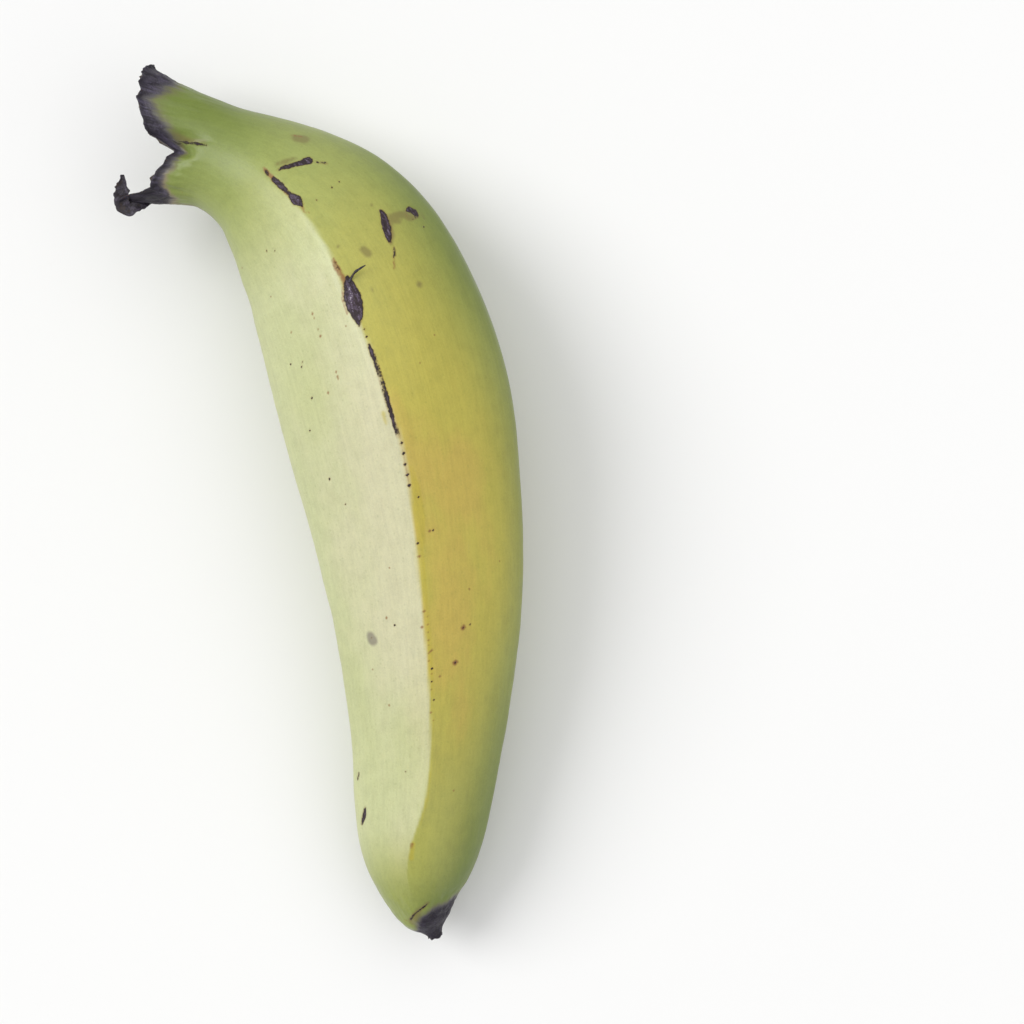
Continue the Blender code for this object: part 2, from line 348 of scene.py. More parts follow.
# The marks that show on the upper side.
SEEN_MARKS: list[Mark] = [
    # The large scar on the top ridge, with the rub that leads to it.
    Mark(Tissue.SCAR, ((66, 92), (68, 92.6), (70.6, 93.4), (73, 94), (75.4, 94.4), (77.6, 95)),
         (1.0, 2.6, 4.0, 3.7, 2.4, 0.5)),
    Mark(Tissue.RUSSET, ((60.4, 94), (62.6, 94.3), (64.6, 94), (66.8, 93.6)), (0.9, 1.4, 1.1, 1.4)),
    Mark(Tissue.RUSSET, ((67.4, 95.6), (70.4, 98), (74, 98.4)), (0.7, 0.8, 0.6)),
    Mark(Tissue.SCAR, ((61.2, 94.2), (62.6, 94.2), (63.8, 94.2)), (0.6, 0.9, 0.4)),
    # The scuffed line along the top ridge, and the dots that carry it on.
    *dots(Tissue.SCAR, 0.5, ((79, 94), (80.6, 94))),
    Mark(Tissue.SCAR, ((82.6, 93.6), (84.4, 93.2), (87, 92.9)), (0.5, 1.1, 0.8)),
    Mark(Tissue.SCAR, ((87, 92.9), (91, 92.4), (95, 92.2), (98, 92)), (0.8, 0.8, 1.0, 0.8)),
    Mark(Tissue.SCAR, ((98, 92), (101.4, 91.4), (103.6, 91), (105, 90.8)), (0.8, 1.0, 0.9, 0.5)),
    *dots(Tissue.SCAR, 0.6, ((106.6, 90.6), (108.6, 90.4), (111, 90.3), (130, 90))),
    *dots(Tissue.SCAR, 0.75, ((113.8, 90.2), (116, 89.6))),
    *dots(Tissue.SCAR, 0.45, ((119.5, 87), (127.5, 82))),
    Mark(Tissue.RUSSET, ((104, 91), (110, 90.4), (117, 89.6)), (0.4, 0.3, 0.4)),
    Mark(Tissue.GOLD, ((98.8, 95), (101.4, 94.6)), (1.4, 1.2)),
    *dots(Tissue.SCAR, 0.35, ((162.5, 87), (159, 87), (166.5, 85))),
    *dots(Tissue.RUSSET, 0.6, ((161, 81), (169.5, 86), (155, 87))),
    *dots(Tissue.RUSSET, 0.35, ((147, 89), (148.6, 88.4), (150.4, 89), (152.2, 88.2))),
    *dots(Tissue.RUSSET, 0.35, ((153.6, 88.8), (155.8, 87.8), (157.4, 88), (160.6, 87))),
    *dots(Tissue.RUSSET, 0.35, ((164.4, 86), (171.4, 85.4))),
    *dots(Tissue.RUSSET, 0.8, ((149.5, 91), (127.2, 83), (133, 90.6), (146, 90))),
    *dots(Tissue.RUSSET, 1.5, ((150, 66), (158, 71))),
    *dots(Tissue.SCAR, 0.3, ((150, 66), (158, 71), (149.6, 61))),
    # The scars of the outer face near the shoulder.
    Mark(Tissue.SCAR, ((56.6, 53), (58, 54.4), (60, 57.6), (61.6, 59.8), (62.8, 61.4)),
         (0.6, 1.7, 2.2, 1.6, 0.5)),
    Mark(Tissue.BRUISE, ((57, 53), (59.4, 55.4), (61.4, 58.4), (63, 61)), (1.0, 2.4, 2.4, 0.8)),
    Mark(Tissue.BRUISE, ((58.4, 53), (59.4, 50.5), (60.0, 48.5)), (1.0, 2.0, 1.4)),
    Mark(Tissue.BRUISE, ((58.6, 50), (59, 46.5), (59.4, 42.5), (60.2, 41)), (1.4, 2.0, 2.0, 2.2)),
    Mark(Tissue.RUSSET, ((59.4, 41.4), (60.6, 42.6)), (0.3, 0.2)),
    Mark(Tissue.BRUISE, ((59.2, 38.6), (59.2, 36), (60, 35), (60.6, 36.4), (60.7, 39.4)),
         (1.2, 1.4, 1.4, 1.2, 0.9)),
    Mark(Tissue.SCAR, ((59.0, 38.8), (59.1, 36.8), (59.7, 35.6), (60.3, 35.4)),
         (1.0, 1.7, 1.8, 1.2)),
    Mark(Tissue.SCAR, ((60.3, 35.4), (60.7, 37), (60.7, 40)), (1.0, 0.8, 0.4)),
    Mark(Tissue.SCAR, ((64.0, 60.8), (65.2, 62.4), (66, 63.8)), (0.2, 0.5, 0.5)),
    Mark(Tissue.RUSSET, ((66, 64), (68.4, 67)), (0.5, 0.5)),
    Mark(Tissue.BRUISE, ((61.8, 77.4), (62.9, 76.6)), (1.9, 2.1)),
    *dots(Tissue.BRUISE, 1.5, ((73, 57),)),
    *dots(Tissue.BRUISE, 0.7, ((58.5, 88), (54.5, 55))),
    *dots(Tissue.SCAR, 0.3, ((62.5, 37),)),
    Mark(Tissue.BRUISE, ((70.5, 83.4), (71.1, 83.4)), (0.5, 0.4)),
    Mark(Tissue.BRUISE, ((60.5, 32), (61.5, 32.6)), (0.3, 0.4)),
    # The shoulder, nearer the neck.
    Mark(Tissue.SCAR, ((35.3, 78.6), (36.4, 73.4), (37.5, 68.4), (38.5, 63), (39, 58.6)),
         (0.5, 1.2, 1.2, 1.6, 2.3)),
    Mark(Tissue.BRUISE, ((34.4, 75), (35.5, 69.6), (36.6, 63)), (1.0, 1.4, 0.8)),
    Mark(Tissue.SCAR, ((40.4, 56), (42.1, 52)), (0.4, 0.6)),
    Mark(Tissue.BRUISE, ((34.0, 42), (35.0, 40)), (2.6, 3.0)),
    Mark(Tissue.RUSSET, ((32.8, 41.6), (33.4, 39.2), (34.6, 38)), (0.5, 0.7, 0.4)),
    Mark(Tissue.SCAR, ((33, 84.2), (34.2, 86)), (0.5, 0.7)),
    Mark(Tissue.SCAR, ((35.8, 86.2), (38.4, 87), (40.4, 87.8)), (1.1, 1.5, 0.8)),
    Mark(Tissue.SCAR, ((41.4, 88), (43.6, 88.2), (45.4, 88)), (1.0, 2.5, 0.7)),
    Mark(Tissue.RUSSET, ((32.4, 83.4), (35.4, 86), (42, 88.6)), (0.7, 1.2, 0.8)),
    Mark(Tissue.RUSSET, ((45.4, 88.4), (46.8, 89.8), (48, 88.6)), (0.7, 0.5, 0.4)),
    *dots(Tissue.SCAR, 0.35, ((47, 59), (46.5, 79), (46.6, 66))),
    # Marks on the upper inner face, which is painted pale as painted light.
    Mark(Tissue.BRUISE, ((151.6, 128.4), (152.4, 127.4)), (2.4, 2.8)),
    *dots(Tissue.SCAR, 0.2, ((151.6, 128.2),)),
    *dots(Tissue.SCAR, 0.4, ((149, 109),)),
    Mark(Tissue.SCAR, ((194.6, 145), (196.2, 146.6), (198.4, 151)), (0.5, 1.3, 0.7)),
    Mark(Tissue.SCAR, ((186.6, 152), (188, 154)), (0.6, 0.5)),
    *dots(Tissue.SCAR, 0.45, ((90.5, 135), (111.5, 137), (98.5, 142), (47, 127))),
    *dots(Tissue.SCAR, 0.25, ((48.5, 122), (80.5, 135), (82, 136), (80, 144), (184.5, 103))),
    *dots(Tissue.SCAR, 0.25, ((118, 130),)),
    *dots(Tissue.RUSSET, 0.7, ((70, 118), (86, 114), (87.5, 113.6), (76, 118), (90.5, 123))),
    *dots(Tissue.RUSSET, 0.7, ((147, 115), (72, 137))),
    *dots(Tissue.RUSSET, 0.5, ((160, 130), (74.5, 118.4), (71.6, 117.4), (88.2, 115))),
    Mark(Tissue.GOLD, ((201.6, 95), (205.4, 97)), (1.2, 1.6)),
    Mark(Tissue.RUSSET, ((201.8, 95.8), (202.6, 96.6)), (0.7, 0.8)),
    # Painted shade: a dark patch drawn as a bruise low on the inner side of the neck, where shade
    # falls.
    Mark(Tissue.BRUISE, ((12, 176), (18, 184), (24, 180)), (1.6, 2.4, 1.2)),
    # The line that runs on from the split of the crown.
    Mark(Tissue.SCAR, ((7, 90), (9.8, 88.8), (12.4, 88)), (0.6, 0.5, 0.5)),
    Mark(Tissue.SCAR, ((12.4, 88), (15, 87), (17.8, 85.6)), (0.5, 0.5, 0.3)),
    Mark(Tissue.BRUISE, ((5, 92), (9, 86), (13, 86), (17, 82)), (3.0, 2.0, 0.9, 0.4)),
    # Dry streaks that run up from the dark tip.
    Mark(Tissue.SCAR, ((217, 80), (218, 90), (219, 106), (220.4, 124)), (0.2, 0.4, 0.3, 0.3)),
    Mark(Tissue.BRUISE, ((217, 82), (218.6, 98), (221, 122)), (0.6, 1.3, 2.4)),
    # Where the top ridge is ripest.
    Mark(Tissue.GOLD, ((112, 87.6), (118, 87), (124, 87.2), (131, 88)), (0.8, 2.4, 2.6, 1.2)),
    Mark(Tissue.GOLD, ((131, 88), (141, 88.6), (155, 87.4), (165, 86), (176, 84.4)),
         (1.0, 1.0, 1.1, 0.8, 0.3)),
    Mark(Tissue.GOLD, ((184, 84.6), (191, 85.6), (197, 89)), (0.2, 0.5, 0.4)),
]


@dataclass
class HiddenMarks:
    """Small scuffs and scars for the sides that no picture shows, the same on each run."""

    seed: int = 11
    count: int = 46
    along_mm: Place = (34, 204)
    direction_deg: Place = (186, 352)
    length_mm: Place = (0.0, 5.5)
    width_mm: Place = (0.5, 1.5)
    narrowing: float = 0.7
    # How far a mark may turn, in degrees for this length.
    slant_deg: Place = (-4, 4)
    slant_over_mm: float = 5
    ridge_scuffs: int = 9
    ridges_deg: tuple[float, ...] = (13, 167, 234, 307)
    scuff_along_mm: Place = (60, 180)
    scuff_length_mm: Place = (4, 15)
    scuff_width_mm: Place = (0.7, 1.4)
    scuff_bow_deg: float = 0.6
    scuff_ends_mm: Place = (0.5, 0.4)

    def draw(self) -> list[Mark]:
        """Draws the marks, most of them small, and a few longer ones along the hidden ridges."""
        rng = random.Random(self.seed)
        marks = []
        for _ in range(self.count):
            along = rng.uniform(*self.along_mm)
            direction = rng.uniform(*self.direction_deg)
            length = rng.uniform(*self.length_mm) * rng.random() ** 2
            slant = rng.uniform(*self.slant_deg)
            width = rng.uniform(*self.width_mm)
            tissue = rng.choice((Tissue.SCAR, Tissue.SCAR, Tissue.RUSSET, Tissue.BRUISE))
            turned = direction + slant * length / self.slant_over_mm
            places = ((along, direction), (along + length, turned))
            marks.append(Mark(tissue, places, (width, width * self.narrowing)))
        for _ in range(self.ridge_scuffs):
            along = rng.uniform(*self.scuff_along_mm)
            ridge = rng.choice(self.ridges_deg)
            length = rng.uniform(*self.scuff_length_mm)
            bowed = (along + length / 2, ridge + self.scuff_bow_deg)
            start, end = self.scuff_ends_mm
            widths = (start, rng.uniform(*self.scuff_width_mm), end)
            places = ((along, ridge), bowed, (along + length, ridge))
            marks.append(Mark(Tissue.SCAR, places, widths))
        return marks


@dataclass(frozen=True)
class LowRelief:
    """How high the low relief stands, in millimetres. Pairs are for the crown and the tip."""

    slow: float = 0.28
    quick: float = 0.05
    furrows: Place = (0.45, 0.34)
    shrinking: Place = (0.45, 0.30)
    crumpling: Place = (0.30, 0.22)
    rib_unrest: float = 0.3
    scar_depth: float = 0.16
    scar_crumpling: float = 0.12
    # How far inside a scar, as its field says, the peel starts to sink and has sunk.
    scar_sinks: Place = (0.42, 0.62)
    # The sizes of its waves.
    slow_size: float = 24
    quick_size: float = 7
    furrow_size: float = 2.2
    crumple_size: float = 1.6
    # Where the furrows start to show and are full: distances from the crown, and from the tip.
    crown_furrows: Place = (24, 2)
    tip_furrows: Place = (20, 4)
    unshrunk_edge: float = 1.2
    # How much less of it there is underneath, how far round, and where the fruit lies.
    kept_down: float = 0.8
    under_deg: float = 34
    lying_from: Place = (46, 56)
    lying_to: Place = (206, 196)


@dataclass(frozen=True)
class TornEdge:
    """The teeth and rags of the torn crown, and the crease between its lobes, in millimetres."""

    # How quickly the teeth follow one another across and up, in radians for each metre.
    coarse_teeth: Place = (2100, 900)
    fine_teeth: Place = (4300, 1700)
    fine_share: float = 0.6
    tooth: float = 0.2
    rag: float = 0.65
    rag_size: float = 2.0
    crease_length: float = 20
    crease_start: float = -2.0
    crease_drift: float = 4.6
    # Depth and spread of the crease, and of the fine split in it.
    crease: Place = (2.2, 2.4)
    split: Place = (0.22, 0.7)
    # How far above and below the middle line the crease is full.
    crease_full: float = 5

    def set_back(self, across: np.ndarray, up: np.ndarray) -> np.ndarray:
        """How far the teeth and rags set the cut back, in metres."""
        coarse = across * self.coarse_teeth[0] + up * self.coarse_teeth[1]
        fine = across * self.fine_teeth[0] - up * self.fine_teeth[1] + 1
        places = np.stack([across, up * 0.5, np.zeros_like(up)], axis=-1)
        rags = roughness_at(places, self.rag_size * MM, 4, 4.0) * self.rag * MM
        return self.tooth * MM * (np.sin(coarse) + self.fine_share * np.sin(fine)) + rags

    def crease_depth(self, along: np.ndarray, across: np.ndarray) -> np.ndarray:
        """The depth of the crease that parts the two lobes, in metres."""
        share = along / (self.crease_length * MM)
        middle = (self.crease_start + self.crease_drift * share) * MM
        wide = self.crease[0] * hill(across, middle, self.crease[1] * MM) * ease((1 - share) * 1.6)
        fine = self.split[0] * hill(across, middle, self.split[1] * MM) * ease((1 - share) * 4)
        return (wide + fine) * MM


@dataclass(frozen=True)
class DeepGreenAndPaintedShade:
    """Painted shade: where the peel is painted a deeper green besides the two ends, low on the
    outer side and at the shoulder, for the shade that falls there.
    """

    low_deg: float = 2
    low_spread: float = 0.62
    low_widening: float = 0.34
    widens_mm: Place = (130, 190)
    low_starts_mm: Place = (30, 60)
    low: float = 0.76
    shoulder_mm: Place = (70, 30)
    shoulder_deg: float = 30
    shoulder_spread: float = 0.62
    shoulder: float = 0.34
    inner_deg: float = 150
    inner_spread: float = 0.9
    inner_loss: float = 0.45
    cloudiness: float = 0.15


@dataclass
class PeelSurface:
    """The fine mesh of the whole fruit, with its relief and the fields that its finish reads."""

    form: FruitForm
    relief: LowRelief = LowRelief()
    tear: TornEdge = TornEdge()
    shade: DeepGreenAndPaintedShade = DeepGreenAndPaintedShade()
    columns: int = 208
    crown_rows: int = 72
    body_rows: int = 292
    tip_rows: int = 66
    crown_zone: float = 24 * MM
    tip_zone: float = 23 * MM
    cut_rows: int = 14
    tip_cap_rows: int = 10
    dishing: float = 1.8 * MM
    cut_fibre_size: float = 1.8 * MM
    cut_fibre_height: float = 1.1 * MM
    tip_dimple: float = 1.3 * MM
    tip_bulge: float = 0.9 * MM
    tip_crumple_size: float = 1.4 * MM
    tip_crumple: float = 0.4 * MM
    mark_reach: float = 1.2 * MM
    # How far the low points let the underside down, over what length and how far round.
    swelling: float = 1.4 * MM
    swelling_length: float = 8 * MM
    swelling_turn_deg: float = 24
    ribs_from_mm: Place = (34, 50)
    ribs_to_mm: Place = (208, 190)
    # The upper inner face, painted pale as painted light: its limits round the fruit past the top
    # ridge, and along it.
    lit_pale_edge_deg: float = 0.9
    lit_pale_fades_deg: Place = (120, 62)
    lit_pale_from_mm: Place = (26, 60)
    lit_pale_to_mm: Place = (216, 196)
    # The limit of the dried tissue: how uneven it is, and where it starts and is full.
    crown_unrest: float = 1.8
    crown_limit_mm: Place = (7.4, -4.8)
    tip_unrest: float = 1.6
    tip_limit_mm: Place = (2.6, -1.6)
    # How ripe the peel is along the fruit in millimetres, and round it in degrees.
    ripe_along: tuple[Place, ...] = (
        (0, 0), (20, 0.04), (35, 0.20), (50, 0.38), (70, 0.58), (95, 0.76), (120, 0.98),
        (145, 0.96), (160, 0.80), (175, 0.68), (190, 0.56), (205, 0.44), (218, 0.32), (228, 0.2),
    )
    ripe_round: tuple[Place, ...] = (
        (-90, 0.25), (-40, 0.30), (0, 0.45), (25, 0.62), (50, 0.95), (75, 1.0), (90, 1.0),
        (105, 0.9), (125, 0.7), (150, 0.35), (180, 0.2), (225, 0.2), (270, 0.25),
    )
    deep_along: tuple[Place, ...] = (
        (0, 1.0), (10, 0.92), (22, 0.66), (34, 0.32), (50, 0.12), (70, 0.04), (100, 0.0),
        (165, 0.0), (185, 0.10), (200, 0.20), (210, 0.36), (218, 0.66), (227, 1.0),
    )
    # How far the crown has dried: place across it, and depth from the torn edge.
    dried_depth_mm: tuple[Place, ...] = (
        (-17.5, 11.0), (-13.5, 9.0), (-12, 5.6), (-10.8, 1.8), (-8.5, 0.8), (-5, 0.6), (-2.6, 1.4),
        (-1.4, 3.6), (0.6, 6.0), (2.5, 4.8), (6.5, 3.0), (9.5, 3.8), (12.5, 5.4), (17.5, 6.8),
    )
    # How far the tip has dried: direction round it in degrees, and depth from its end.
    dried_tip_mm: tuple[Place, ...] = (
        (-90, 4.0), (-40, 7.6), (3, 9.2), (32, 8.6), (57, 7.4), (75, 6.4), (94, 4.6), (120, 3.0),
        (150, 2.6), (200, 2.8), (270, 4.0),
    )

    def stations(self) -> np.ndarray:
        """Distances of the rows from the crown, closer together at both ends."""
        length = self.form.length
        crown = np.linspace(0, self.crown_zone, self.crown_rows, endpoint=False)
        body = np.linspace(self.crown_zone, length - self.tip_zone, self.body_rows, endpoint=False)
        tip = np.linspace(length - self.tip_zone, length, self.tip_rows)
        return np.concatenate([crown, body, tip])

    def swell(self, along: np.ndarray, direction: np.ndarray) -> np.ndarray:
        """How far the underside is let down by the three low points."""
        lowered = np.zeros_like(direction)
        for distance, low in self.form.low_points_mm:
            near = hill(along, distance * MM, self.swelling_length)
            spread = math.radians(self.swelling_turn_deg)
            lowered += near * hill(turn_between(direction, low), 0, spread)
        return self.swelling * lowered

    def ribs(self, along: np.ndarray, direction: np.ndarray, unrest: np.ndarray) -> np.ndarray:
        """How far the ribs stand out, higher and lower along the fruit."""
        fade = between(along, self.ribs_from_mm, self.ribs_to_mm)
        turned = direction - self.form.ridge_turn.at(along)
        spread = math.radians(self.form.rib_spread_deg)
        height = np.zeros_like(direction)
        for rib, tall in self.form.ribs_mm:
            height += tall * MM * hill(turn_between(turned, rib), 0, spread)
        height += self.form.top_rib_mm * MM * hill(self.past_ridge(along, direction), 0, spread)
        return height * fade * (1 + self.relief.rib_unrest * unrest)

    def past_ridge(self, along: np.ndarray, direction: np.ndarray) -> np.ndarray:
        """How far each point is past the top ridge towards the inner side, in radians."""
        ridge = np.radians(course_of(self.form.top_ridge).at(along / MM))
        return turn_between(direction - ridge, 0)

    def torn_back(self, across: np.ndarray, up: np.ndarray) -> np.ndarray:
        """How far the torn end is set back, with its teeth."""
        below = self.form.undercut * np.maximum(-up, 0.0)
        return self.form.torn_edge.at(across) + self.tear.set_back(across, up) + below

    def dried_at_crown(
        self, along: np.ndarray, across: np.ndarray, unrest: np.ndarray
    ) -> np.ndarray:
        """How dried the tissue is near the torn edge, from 0 to 1, with a soft limit."""
        depth = course_of(self.dried_depth_mm).at(across / MM) * MM
        start, full = self.crown_limit_mm
        return rise(along - depth - unrest * self.crown_unrest * MM, start * MM, full * MM)

    def dried_at_tip(
        self, along: np.ndarray, direction: np.ndarray, unrest: np.ndarray
    ) -> np.ndarray:
        """How dried the blossom end is, from 0 to 1, furthest up on its outer side."""
        left = self.form.length - along
        turned = np.degrees(turn_between(direction, 90)) + 90
        depth = course_of(self.dried_tip_mm).at(turned) * MM
        start, full = self.tip_limit_mm
        return rise(left - depth - unrest * self.tip_unrest * MM, start * MM, full * MM)

    def grid(self) -> tuple[np.ndarray, np.ndarray]:
        """The distance and direction of every point of the side wall."""
        along = self.stations()
        direction = -math.pi / 2 + 2 * math.pi * np.arange(self.columns + 1) / self.columns
        return along, np.repeat(direction[None, :], len(along), axis=0)

    def build(self) -> bpy.types.Object:
        """Makes the mesh from one wrapped grid, with its relief and its fields.

        Returns:
            The finished object.
        """
        form = self.form
        along, direction = self.grid()
        rows = np.repeat(along[:, None], direction.shape[1], axis=1)
        across, up = form.outline(along, direction)
        on_peel = np.stack([rows, across, up], axis=-1)

        heights = self.relief
        slow = roughness_at(on_peel * (0.45, 1, 1), heights.slow_size * MM, 2, 1.0)
        quick = roughness_at(on_peel * (0.7, 1, 1), heights.quick_size * MM, 3, 2.0)
        furrow = roughness_at(on_peel * (0.16, 1, 1), heights.furrow_size * MM, 3, 3.0)
        crumple = roughness_at(on_peel, heights.crumple_size * MM, 3, 5.0)

        dried_crown = self.dried_at_crown(rows, across, quick)
        dried_tip = self.dried_at_tip(rows, direction, quick)
        fields = self.mark_fields(rows, across, up)

        near_crown = rise(rows, heights.crown_furrows[0] * MM, heights.crown_furrows[1] * MM)
        left = form.length - rows
        near_tip = rise(left, heights.tip_furrows[0] * MM, heights.tip_furrows[1] * MM)
        shrunk = dried_crown * rise(rows, 0, heights.unshrunk_edge * MM)
        relief = (heights.slow * slow + heights.quick * quick) * MM
        relief += self.ribs(rows, direction, quick)
        crown, tip = heights.furrows
        relief += (crown * near_crown + tip * near_tip) * MM * furrow
        crown, tip = heights.shrinking
        relief -= (crown * shrunk + tip * dried_tip) * MM
        crown, tip = heights.crumpling
        relief += (crown * dried_crown + tip * dried_tip) * MM * crumple
        sunken = rise(fields["scar"], *heights.scar_sinks)
        relief -= sunken * (heights.scar_depth + heights.scar_crumpling * crumple) * MM
        relief *= self.clear_of_floor(direction, rows)

        across = across + relief * np.cos(direction)
        up = up + relief * np.sin(direction) - self.swell(rows, direction)
        crease = self.tear.crease_depth(rows, across)
        full = self.tear.crease_full * MM
        up = up - crease * np.sign(up) * np.minimum(np.abs(up) / full, 1)
        ahead = self.torn_back(across, up) * ease(1 - rows / form.tear_reaches)
        wall = form.place(along, across, up, ahead)
        wall[..., 2] = np.maximum(wall[..., 2], 0.0)

        fields["dried"] = np.maximum(dried_crown, dried_tip)
        fields["ripe"] = self.ripeness(rows, direction, slow)
        # The deep green is partly painted shade; the pale field is painted light on the upper inner
        # face.
        fields["green_depth_and_shade"] = self.greenness_and_shade(rows, direction, slow)
        fields["lit_pale"] = self.lit_paleness(rows, direction, slow)
        fields["cut"] = np.zeros_like(rows)
        crown = self.crown_end(across[0], up[0])
        tip = self.tip_end(across[-1], up[-1])
        points = np.concatenate([crown, wall, tip])
        past_tip = tip - tip[-1, 0] + (form.length, 0, 0)
        on_peel = np.concatenate([crown - crown[0, 0], on_peel, past_tip])
        padded = {name: self.pad(values, name) for name, values in fields.items()}
        return self.make_object(points, on_peel, padded)

    def clear_of_floor(self, direction: np.ndarray, rows: np.ndarray) -> np.ndarray:
        """Less relief on the underside, so that the fruit still lies on its three low points."""
        under = hill(turn_between(direction, -90), 0, math.radians(self.relief.under_deg))
        lying = between(rows, self.relief.lying_from, self.relief.lying_to)
        return 1 - self.relief.kept_down * under * lying

    def mark_fields(
        self, rows: np.ndarray, across: np.ndarray, up: np.ndarray
    ) -> dict[str, np.ndarray]:
        """How far inside the marks of each tissue every point is: 0.5 is on an edge."""
        wall = self.form.place(rows[:, 0], across, up, np.zeros_like(up)).reshape(-1, 3)
        nearest = {tissue: np.full(len(wall), FAR) for tissue in Tissue}
        for mark in SEEN_MARKS + HiddenMarks().draw():
            away = mark.distance(self.form, wall)
            nearest[mark.tissue] = np.minimum(nearest[mark.tissue], away)
        return {
            tissue.value: np.clip(0.5 - away / (2 * self.mark_reach), 0, 1).reshape(rows.shape)
            for tissue, away in nearest.items()
        }

    def ripeness(self, rows: np.ndarray, direction: np.ndarray, slow: np.ndarray) -> np.ndarray:
        """From 0, green, to 1, yellow: ripest on the upper outer face, green at both ends."""
        along = course_of(self.ripe_along).at(rows / MM)
        turned = np.degrees(turn_between(direction, 90)) + 90
        return np.clip(along * course_of(self.ripe_round).at(turned) + 0.08 * slow, 0, 1)

    def greenness_and_shade(self, rows: np.ndarray, direction: np.ndarray, slow: np.ndarray) -> np.ndarray:
        """How deep the green is: deepest at both ends, the peel's own green, and low on the outer
        side and at the shoulder, which is painted shade.
        """
        along = course_of(self.deep_along).at(rows / MM)
        shade = self.shade
        inner = hill(turn_between(direction, shade.inner_deg), 0, shade.inner_spread)
        widened = rise(rows, shade.widens_mm[0] * MM, shade.widens_mm[1] * MM)
        wide = shade.low_spread + shade.low_widening * widened
        low = hill(turn_between(direction, shade.low_deg) / wide, 0, 1)
        low *= rise(rows, shade.low_starts_mm[0] * MM, shade.low_starts_mm[1] * MM)
        shoulder = hill(rows, shade.shoulder_mm[0] * MM, shade.shoulder_mm[1] * MM)
        shoulder *= hill(turn_between(direction, shade.shoulder_deg), 0, shade.shoulder_spread)
        ends = along * (1 - shade.inner_loss * inner)
        green_depth_and_shade = ends + shade.low * low + shade.shoulder * shoulder + shade.cloudiness * slow
        return np.clip(green_depth_and_shade, 0, 1)

    def lit_paleness(self, rows: np.ndarray, direction: np.ndarray, slow: np.ndarray) -> np.ndarray:
        """Painted light: how much paler the upper inner face is painted, for the light on that side
        and a glare over it; its edge at the top ridge is sharp.
        """
        turned = self.past_ridge(rows, direction)
        start = rise(turned, math.radians(-self.lit_pale_edge_deg), math.radians(self.lit_pale_edge_deg))
        end = rise(turned, *np.radians(self.lit_pale_fades_deg))
        along = between(rows, self.lit_pale_from_mm, self.lit_pale_to_mm)
        return np.clip(start * end * along * (0.95 + 0.25 * slow), 0, 1)

    def crown_end(self, across: np.ndarray, up: np.ndarray) -> np.ndarray:
        """The torn cut: rows of points from its middle out to the wall."""
        shrink = (np.arange(self.cut_rows) / self.cut_rows)[:, None] ** 0.8
        inner_across, inner_up = across[None, :] * shrink, up[None, :] * shrink
        places = np.stack([inner_across, inner_up, np.zeros_like(inner_up)], axis=-1)
        fibres = roughness_at(places, self.cut_fibre_size, 3, 6.0) * self.cut_fibre_height
        dish = self.dishing * ease((1 - shrink) * 1.5)
        ahead = self.torn_back(inner_across, inner_up) + dish + fibres * ease((1 - shrink) * 6)
        return self.form.place(np.zeros(self.cut_rows), inner_across, inner_up, ahead)

    def tip_end(self, across: np.ndarray, up: np.ndarray) -> np.ndarray:
        """The blunt blossom end: rows of points from the wall in to its middle."""
        shrink = 1 - ((np.arange(self.tip_cap_rows) + 1) / self.tip_cap_rows)[:, None]
        inner_across, inner_up = across[None, :] * shrink, up[None, :] * shrink
        places = np.stack([inner_across, inner_up, np.zeros_like(inner_up)], axis=-1)
        bulge = self.tip_bulge * np.sqrt(np.clip(1 - shrink ** 4, 0, 1))
        crumple = roughness_at(places, self.tip_crumple_size, 2, 7.0) * self.tip_crumple
        ahead = bulge - self.tip_dimple * hill(shrink, 0, 0.45) + crumple * ease((1 - shrink) * 4)
        end = np.full(self.tip_cap_rows, self.form.length)
        return self.form.place(end, inner_across, inner_up, ahead)

    def pad(self, values: np.ndarray, name: str) -> np.ndarray:
        """Carries a field over both ends, which are dried all over."""
        at_crown = {"cut": 1.0, "dried": 1.0}.get(name, 0.0)
        at_tip = {"dried": 1.0}.get(name, 0.0)
        crown = np.full((self.cut_rows, values.shape[1]), at_crown)
        tip = np.full((self.tip_cap_rows, values.shape[1]), at_tip)
        return np.concatenate([crown, values, tip])

    def make_object(
        self, points: np.ndarray, on_peel: np.ndarray, fields: dict[str, np.ndarray]
    ) -> bpy.types.Object:
        """Wraps a grid round the fruit, closes its seam and its two poles, and names its fields.

        Args:
            points: The place of each point, in rows and columns.
            on_peel: Its place on the straightened fruit.
            fields: The values that the finish reads, by the name of their attribute.

        Returns:
            The object.
        """
        bm = bmesh.new()
        straight = bm.verts.layers.float_vector.new("straightened")
        layers = [bm.verts.layers.float.new(name) for name in fields]
        columns = [values.reshape(-1).tolist() for values in fields.values()]
        verts = wrap_grid(bm, points)
        for vert, place, *values in zip(verts, on_peel.reshape(-1, 3).tolist(), *columns):
            vert[straight] = place
            for layer, value in zip(layers, values):
                vert[layer] = value
        return object_from(bm, "peel")


def wrap_grid(bm: bmesh.types.BMesh, points: np.ndarray) -> list[bmesh.types.BMVert]:
    """Adds a grid whose points go where they are told.

    Args:
        bm: The bmesh it is added to.
        points: The place of each point, in rows and columns. The last column repeats the first
            where the grid closes on itself, and a row of one repeated place makes a pole.

    Returns:
        The new vertices, row by row, before doubles are merged.
    """
    rows, columns = points.shape[:2]
    made = bmesh.ops.create_grid(bm, x_segments=columns - 1, y_segments=rows - 1, size=1)["verts"]
    for vert, place in zip(made, points.reshape(-1, 3).tolist()):
        vert.co = place
    return made


